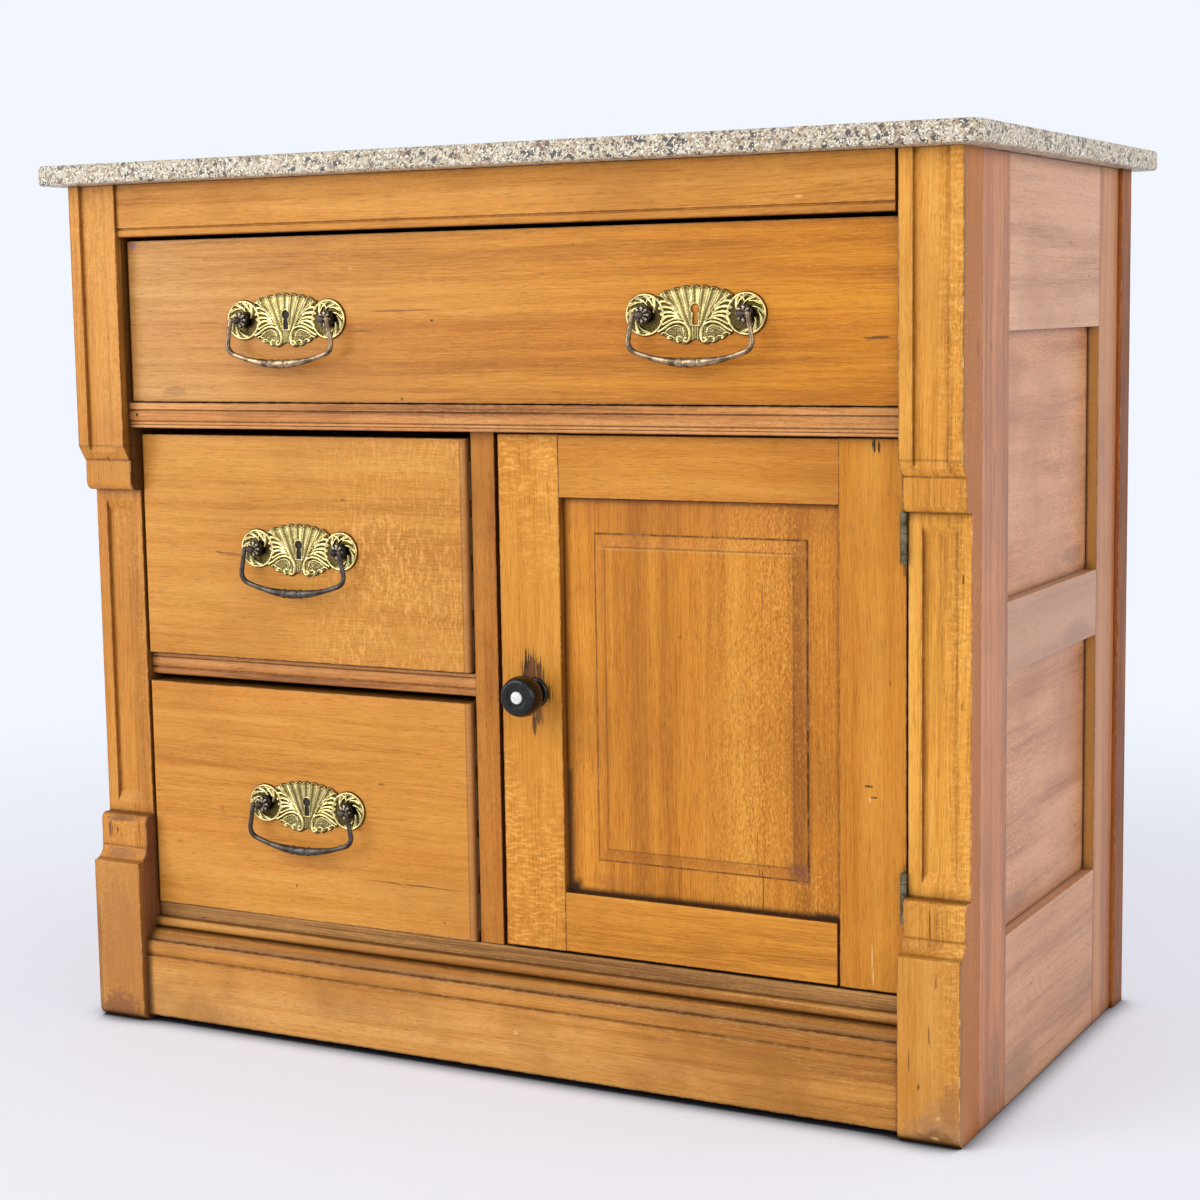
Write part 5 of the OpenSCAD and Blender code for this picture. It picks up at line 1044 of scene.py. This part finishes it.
def relief_mesh(name, verts, faces, level):
    """A mesh from points in millimetres, with the height of its relief, from 0 to 1, kept on each point."""
    mesh = bpy.data.meshes.new(name)
    mesh.from_pydata([tuple(c * MM for c in p) for p in verts], [], faces)
    attribute = mesh.attributes.new("relief", "FLOAT", "POINT")
    attribute.data.foreach_set("value", np.array(level, np.float32))
    return mesh


def store(bm, mesh, smooth=True):
    bm.to_mesh(mesh)
    bm.free()
    if smooth:
        mesh.shade_smooth()
    return mesh


def plate_mesh():
    """A grid of columns between the lower and the upper outline, bent to the relief, with a keyhole."""
    reach = POST + LOBE_R
    s = np.linspace(-1, 1, COLUMNS + 1)
    columns = reach * 0.9995 * np.sign(s) * (1 - (1 - np.abs(s)) ** 1.35) ** (1 / 1.12)
    t = (1 - np.cos(np.linspace(0, math.pi, ROWS + 1))) / 2 * 0.35 + np.linspace(0, 1, ROWS + 1) * 0.65
    u = np.repeat(columns[:, None], ROWS + 1, axis=1)
    low, top = plate_low(np.abs(columns)), plate_top(np.abs(columns))
    v = low[:, None] + (top - low)[:, None] * t[None, :]
    gap = keyhole_gap(u, v)
    h = plate_height(u, v)
    verts = np.stack([u, -h, v], axis=-1).reshape(-1, 3)
    level = np.clip((h - 0.45) / 1.9, 0, 1).reshape(-1)
    faces = []
    for i in range(COLUMNS):
        for j in range(ROWS):
            if gap[i : i + 2, j : j + 2].mean() > 0:
                k = i * (ROWS + 1) + j
                faces.append((k, k + ROWS + 1, k + ROWS + 2, k + 1))
    mesh = relief_mesh("pull_plate", verts, faces, level)
    bm = bmesh.new()
    bm.from_mesh(mesh)
    loose = [p for p in bm.verts if not p.link_faces]
    bmesh.ops.delete(bm, geom=loose, context="VERTS")
    bmesh.ops.recalc_face_normals(bm, faces=bm.faces)
    if sum(f.normal.y for f in bm.faces) > 0:
        bmesh.ops.reverse_faces(bm, faces=bm.faces)
    rim = [e for e in bm.edges if e.is_boundary]
    made = bmesh.ops.extrude_edge_only(bm, edges=rim)["geom"]
    for p in made:
        if isinstance(p, bmesh.types.BMVert):
            p.co.y = -0.05 * MM
    return store(bm, mesh)


def link(name, mesh, at=(0, 0, 0)):
    piece = bpy.data.objects.new(name, mesh)
    piece.location = at
    bpy.context.scene.collection.objects.link(piece)
    return piece


PLATE = plate_mesh()
PLATE.materials.append(BRASS)

PETALS = 8
FLOWER_R = 6.1
FLOWER_RINGS = 18
FLOWER_TURNS = 96


def flower_mesh():
    """Leafy rosette on a post: two whorls of petals round a button, closed at the back."""
    verts, faces, level = [], [], []
    for i in range(FLOWER_RINGS + 1):
        share = i / FLOWER_RINGS
        for j in range(FLOWER_TURNS):
            turn = 2 * math.pi * j / FLOWER_TURNS
            petal = abs(math.cos(PETALS * turn / 2))
            inner = abs(math.sin(PETALS * turn / 2))
            reach = FLOWER_R * (0.68 + 0.32 * petal**0.7)
            radius = reach * share
            h = 0.5 + 1.9 * math.sqrt(max(0.0, 1 - (share * 0.98) ** 4)) * (0.2 + 0.8 * petal**0.7)
            if share < 0.62:
                h += 1.2 * (1 - share / 0.62) ** 0.5 * (0.35 + 0.65 * inner**0.6)
            h -= 0.6 * math.exp(-(((share - 0.55) / 0.08) ** 2))
            if i == FLOWER_RINGS:
                h = 0.0
            verts.append((radius * math.cos(turn), -h, radius * math.sin(turn)))
            level.append(max(0.0, min(1.0, (h - 0.4) / 2.4)))
    for i in range(FLOWER_RINGS):
        for j in range(FLOWER_TURNS):
            k = (j + 1) % FLOWER_TURNS
            a, b = i * FLOWER_TURNS, (i + 1) * FLOWER_TURNS
            faces.append((a + j, a + k, b + k, b + j))
    faces.append(tuple(range(FLOWER_RINGS * FLOWER_TURNS, (FLOWER_RINGS + 1) * FLOWER_TURNS)))
    mesh = relief_mesh("flower", verts, faces, level)
    bm = bmesh.new()
    bm.from_mesh(mesh)
    bmesh.ops.remove_doubles(bm, verts=bm.verts, dist=1e-7)
    bmesh.ops.recalc_face_normals(bm, faces=bm.faces)
    return store(bm, mesh)


FLOWER = flower_mesh()
FLOWER.materials.append(metal("flower_iron", (0.50, 0.41, 0.31), (0.035, 0.026, 0.021), 0.26,
                              (0.008, 0.006, 0.005), relief=True, dirt_and_shade=0.4))

BAIL_OUT = 11.0
BALL_R = 3.0
EYE_R = 1.75
ARM_X = POST + BALL_R + 0.3 + EYE_R
BAIL_DROP = 32.5
BAIL_CORNER = 8.0
BAIL_BOW = math.radians(20)
BAIL_LEAN = math.radians(11)
SWELL_L = 25.0
SIDES = 24


def bail_line():
    """Points of the right half of a bail from its middle to its eye, as (x, z)."""
    turn = math.pi / 2 + BAIL_LEAN
    k = math.sin(BAIL_BOW) + math.tan(BAIL_LEAN) * (1 - math.cos(BAIL_BOW))
    cx = BAIL_CORNER * (math.sin(turn) - math.sin(BAIL_BOW))
    cz = BAIL_CORNER * (math.cos(BAIL_BOW) - math.cos(turn))
    bow = (ARM_X - cx + math.tan(BAIL_LEAN) * (BAIL_DROP - cz)) / k
    line = [(bow * math.sin(t), bow * (1 - math.cos(t)) - BAIL_DROP) for t in np.linspace(0, BAIL_BOW, 40)]
    x, z = line[-1]
    x, z = x - BAIL_CORNER * math.sin(BAIL_BOW), z + BAIL_CORNER * math.cos(BAIL_BOW)
    for t in np.linspace(BAIL_BOW, turn, 22)[1:]:
        line.append((x + BAIL_CORNER * math.sin(t), z - BAIL_CORNER * math.cos(t)))
    x, z = line[-1]
    for t in np.linspace(0, 1, 14)[1:]:
        line.append((x + (ARM_X - x) * t, z * (1 - t)))
    return line


def bail_radius(x, along):
    """Radius of the bail's bar at x, thin at the eyes and swelling to collars and a barrel in the middle."""
    x = abs(x)
    r = 1.75 + 0.15 * math.exp(-(((along - 0.70) / 0.16) ** 2))
    r += 1.35 * smooth(np.array((SWELL_L + 8 - x) / SWELL_L)).item()
    r += 0.45 * math.exp(-(((x - 7.4) / 1.3) ** 2)) + 0.35 * math.exp(-((x / 3.4) ** 4))
    r -= 0.75 * math.exp(-(((x - 5.1) / 0.55) ** 2)) + 0.25 * math.exp(-(((x - 10.2) / 0.7) ** 2))
    return r


def bail_mesh():
    half = bail_line()
    dense = [half[0]]
    for a, b in zip(half, half[1:]):
        parts = 4 if a[0] < 9 else 1
        for i in range(1, parts + 1):
            dense.append((a[0] + (b[0] - a[0]) * i / parts, a[1] + (b[1] - a[1]) * i / parts))
    line = [(-x, z) for x, z in reversed(dense[1:])] + dense
    points = [Vector((x, 0, z)) for x, z in line]
    n = len(points)
    bm = bmesh.new()
    rings = []
    for i, p in enumerate(points):
        ahead = (points[min(i + 1, n - 1)] - points[max(i - 1, 0)]).normalized()
        side = Vector((0, 1, 0))
        up = side.cross(ahead)
        r = bail_radius(p.x, abs(2 * i / (n - 1) - 1))
        ring = []
        for j in range(SIDES):
            t = 2 * math.pi * j / SIDES
            ring.append(bm.verts.new((p + r * (math.cos(t) * side + math.sin(t) * up)) * MM))
        rings.append(ring)
    for a, b in zip(rings, rings[1:]):
        for j in range(SIDES):
            bm.faces.new((a[j], a[(j + 1) % SIDES], b[(j + 1) % SIDES], b[j]))
    bm.faces.new(rings[0])
    bm.faces.new(rings[-1])
    for side in (-1, 1):
        eye = Matrix.Translation(Vector((side * ARM_X, 0, 0)) * MM)
        bmesh.ops.create_uvsphere(bm, u_segments=20, v_segments=12, radius=(EYE_R + 0.15) * MM, matrix=eye)
        turn = Matrix.Rotation(math.pi / 2, 4, "Y")
        middle = side * (POST + 0.4 + ARM_X) / 2
        pivot = Matrix.Translation(Vector((middle, 0, 0)) * MM) @ turn
        bmesh.ops.create_cone(bm, cap_ends=True, segments=20, radius1=1.0 * MM, radius2=1.0 * MM,
                              depth=(ARM_X - POST - 0.4) * MM, matrix=pivot)
    bmesh.ops.recalc_face_normals(bm, faces=bm.faces)
    return store(bm, bpy.data.meshes.new("bail"))


BAIL = bail_mesh()
BAIL_DARK = BAIL.copy()
BAIL.materials.append(COPPER)
BAIL_DARK.materials.append(IRON)

FLOWER_OUT = 5.5
KEYWAY_T = 0.25


def keyhole_shade_mesh():
    """A painted shade: a thin dark plate in the drawer front, seen through the pull's opening, that stands in
    for the dark inside of the keyhole.
    """
    grow = 0.35
    head, slot = KEY_R + grow, KEY_SLOT / 2 + grow
    middle = KEY_L / 2 - KEY_R
    start = -math.asin(slot / head)
    outline = [(head * math.sin(t), middle + head * math.cos(t))
               for t in np.linspace(math.pi + start, -math.pi - start, 29)]
    outline += [(-slot, -KEY_L / 2 - grow), (slot, -KEY_L / 2 - grow)]
    bm = bmesh.new()
    face = bm.faces.new([bm.verts.new((x * MM, -KEYWAY_T * MM, z * MM)) for x, z in outline])
    for p in bmesh.ops.extrude_face_region(bm, geom=[face])["geom"]:
        if isinstance(p, bmesh.types.BMVert):
            p.co.y = -0.02 * MM
    bmesh.ops.recalc_face_normals(bm, faces=bm.faces)
    return store(bm, bpy.data.meshes.new("keyway"), smooth=False)


# painted shade for the inside of the keyholes, dark and mottled
def keyhole_shade_paint():
    g = Graph("keyhole_shade_paint")
    place = g.place()
    shade_mottle = g.noise(place, 900, 3.0, 0.6)
    colour = g.ramp(shade_mottle, [(0.4, (0.010, 0.008, 0.006)), (0.75, (0.05, 0.035, 0.022))]).outputs[0]
    return g.finish(Base_Color=colour, Roughness=0.8, Normal=g.bump(shade_mottle, 0.00005, 0.4))


KEYHOLE_SHADE = keyhole_shade_mesh()
KEYHOLE_SHADE.materials.append(keyhole_shade_paint())

# Drawer, its pull's middle, its bail's node and body, and the bail's mesh
PULLS = [
    ("top_left", "top_drawer", "top_left_bail", "top_left_handle", BAIL, "copper_bail"),
    ("top_right", "top_drawer", "top_right_bail", "top_right_handle", BAIL, "copper_bail"),
    ("upper", "upper_drawer", "upper_bail", "upper_handle", BAIL_DARK, "iron"),
    ("lower", "lower_drawer", "lower_bail", "lower_handle", BAIL_DARK, "iron"),
]
plates = {"top_left": "top_pull_plates", "upper": "upper_pull_plate", "lower": "lower_pull_plate"}
for label, drawer, bail_node, handle, bail_data, bail_slot in PULLS:
    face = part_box(drawer + "_front")[0].y
    low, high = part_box(bail_node)
    x, z = (low.x + high.x) / 2, high.z - EYE_R * MM
    plate = link(label + "_plate", PLATE, (x, face, z))
    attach(plate, drawer)
    if label in plates:
        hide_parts(plates[label])
    # a dark plate of painted shade in every keyhole but that of the top right pull
    if label != "top_right":
        keyway = link(label + "_keyway", KEYHOLE_SHADE, (x, face, z))
        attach(keyway, drawer)
    for side, word in ((-1, "left"), (1, "right")):
        flower = link(f"{label}_{word}_flower", FLOWER, (x + side * POST * MM, face - FLOWER_OUT * MM, z))
        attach(flower, drawer)
    bail = link(label + "_bail_bar", bail_data, (x, face - BAIL_OUT * MM, z))
    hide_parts(bail_node)
    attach(bail, handle)
for name in ("top_pull_posts", "upper_pull_posts", "lower_pull_posts"):
    dress(name, IRON)

# Light, floor and surroundings

SURROUND = (0.885, 0.925, 1.0)
NEAR_FLOOR = (0.89, 0.895, 0.99)


def seen_directly(tree):
    """1 for camera, glossy and transmission rays, 0 for diffuse light."""
    path = tree.nodes.new("ShaderNodeLightPath")
    seen = path.outputs["Is Camera Ray"]
    for name in ("Is Glossy Ray", "Is Transmission Ray"):
        node = tree.nodes.new("ShaderNodeMath")
        node.operation = "MAXIMUM"
        tree.links.new(seen, node.inputs[0])
        tree.links.new(path.outputs[name], node.inputs[1])
        seen = node.outputs[0]
    return seen


def make_world():
    world = bpy.data.worlds.new("studio")
    bpy.context.scene.world = world
    world.use_nodes = True
    tree = world.node_tree
    tree.nodes.clear()
    seen = seen_directly(tree)
    shown = tree.nodes.new("ShaderNodeBackground")
    shown.inputs["Color"].default_value = (*SURROUND, 1)
    glow = tree.nodes.new("ShaderNodeBackground")
    glow.inputs["Color"].default_value = (0.93, 0.96, 1.0, 1)
    glow.inputs["Strength"].default_value = 0.42
    mix = tree.nodes.new("ShaderNodeMixShader")
    tree.links.new(seen, mix.inputs[0])
    tree.links.new(glow.outputs[0], mix.inputs[1])
    tree.links.new(shown.outputs[0], mix.inputs[2])
    out = tree.nodes.new("ShaderNodeOutputWorld")
    tree.links.new(mix.outputs[0], out.inputs["Surface"])


def make_floor():
    bm = bmesh.new()
    bmesh.ops.create_circle(bm, cap_ends=True, segments=96, radius=30.0)
    mesh = store(bm, bpy.data.meshes.new("floor"), smooth=False)
    g = Graph("floor_paper")
    place = g.place()
    far = g.add("VectorMath", {0: place}, operation="LENGTH").outputs["Value"]
    # painted shadow: occlusion darkens the floor where the case stands on it, and holds the backdrop's glow
    # back there
    contact_shadow = g.add("AmbientOcclusion", {"Distance": 0.03}, samples=8).outputs["AO"]
    contact_shadow = g.span(contact_shadow, 0.35, 0.95)
    paper = g.add("BsdfDiffuse", {"Color": g.blend(contact_shadow, (0.04, 0.038, 0.042), (0.91, 0.925, 0.98))})
    tint = g.blend(g.span(far, 0.3, 1.6), NEAR_FLOOR, SURROUND)
    sky = g.add("Emission", {"Color": tint, "Strength": 1.0})
    share = g.times(g.span(far, 0.35, 1.7, 0.45, 1.0), seen_directly(g.tree))
    share = g.times(share, contact_shadow)
    surface = g.add("MixShader", {0: share, 1: paper, 2: sky})
    g.add("OutputMaterial", {"Surface": surface})
    mesh.materials.append(g.material)
    link("floor", mesh)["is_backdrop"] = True


def soft_light(name, at, aim, width, height, watts, colour=(1, 1, 1)):
    data = bpy.data.lights.new(name, "AREA")
    data.shape = "RECTANGLE"
    data.size, data.size_y = width, height
    data.energy = watts
    data.color = colour
    lamp = bpy.data.objects.new(name, data)
    bpy.context.scene.collection.objects.link(lamp)
    lamp.location = at
    lamp.rotation_euler = (Vector(aim) - Vector(at)).to_track_quat("-Z", "Y").to_euler()


make_world()
make_floor()
soft_light("key", (-1.7, -2.6, 2.1), (0, 0, 0.35), 2.2, 2.2, 54)
soft_light("sheen", (-2.2, -2.1, 0.5), (0, 0, 0.45), 1.0, 0.8, 15)
soft_light("fill", (1.9, -2.4, 1.3), (0, 0, 0.35), 2.2, 1.6, 20)
soft_light("flank", (2.8, 0.1, 1.1), (0.36, 0, 0.33), 1.8, 1.8, 26)
soft_light("top", (0.2, 0.8, 3.0), (0, 0, 0.3), 2.4, 2.4, 14)
bpy.context.scene.view_settings.view_transform = "Standard"

low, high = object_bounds()
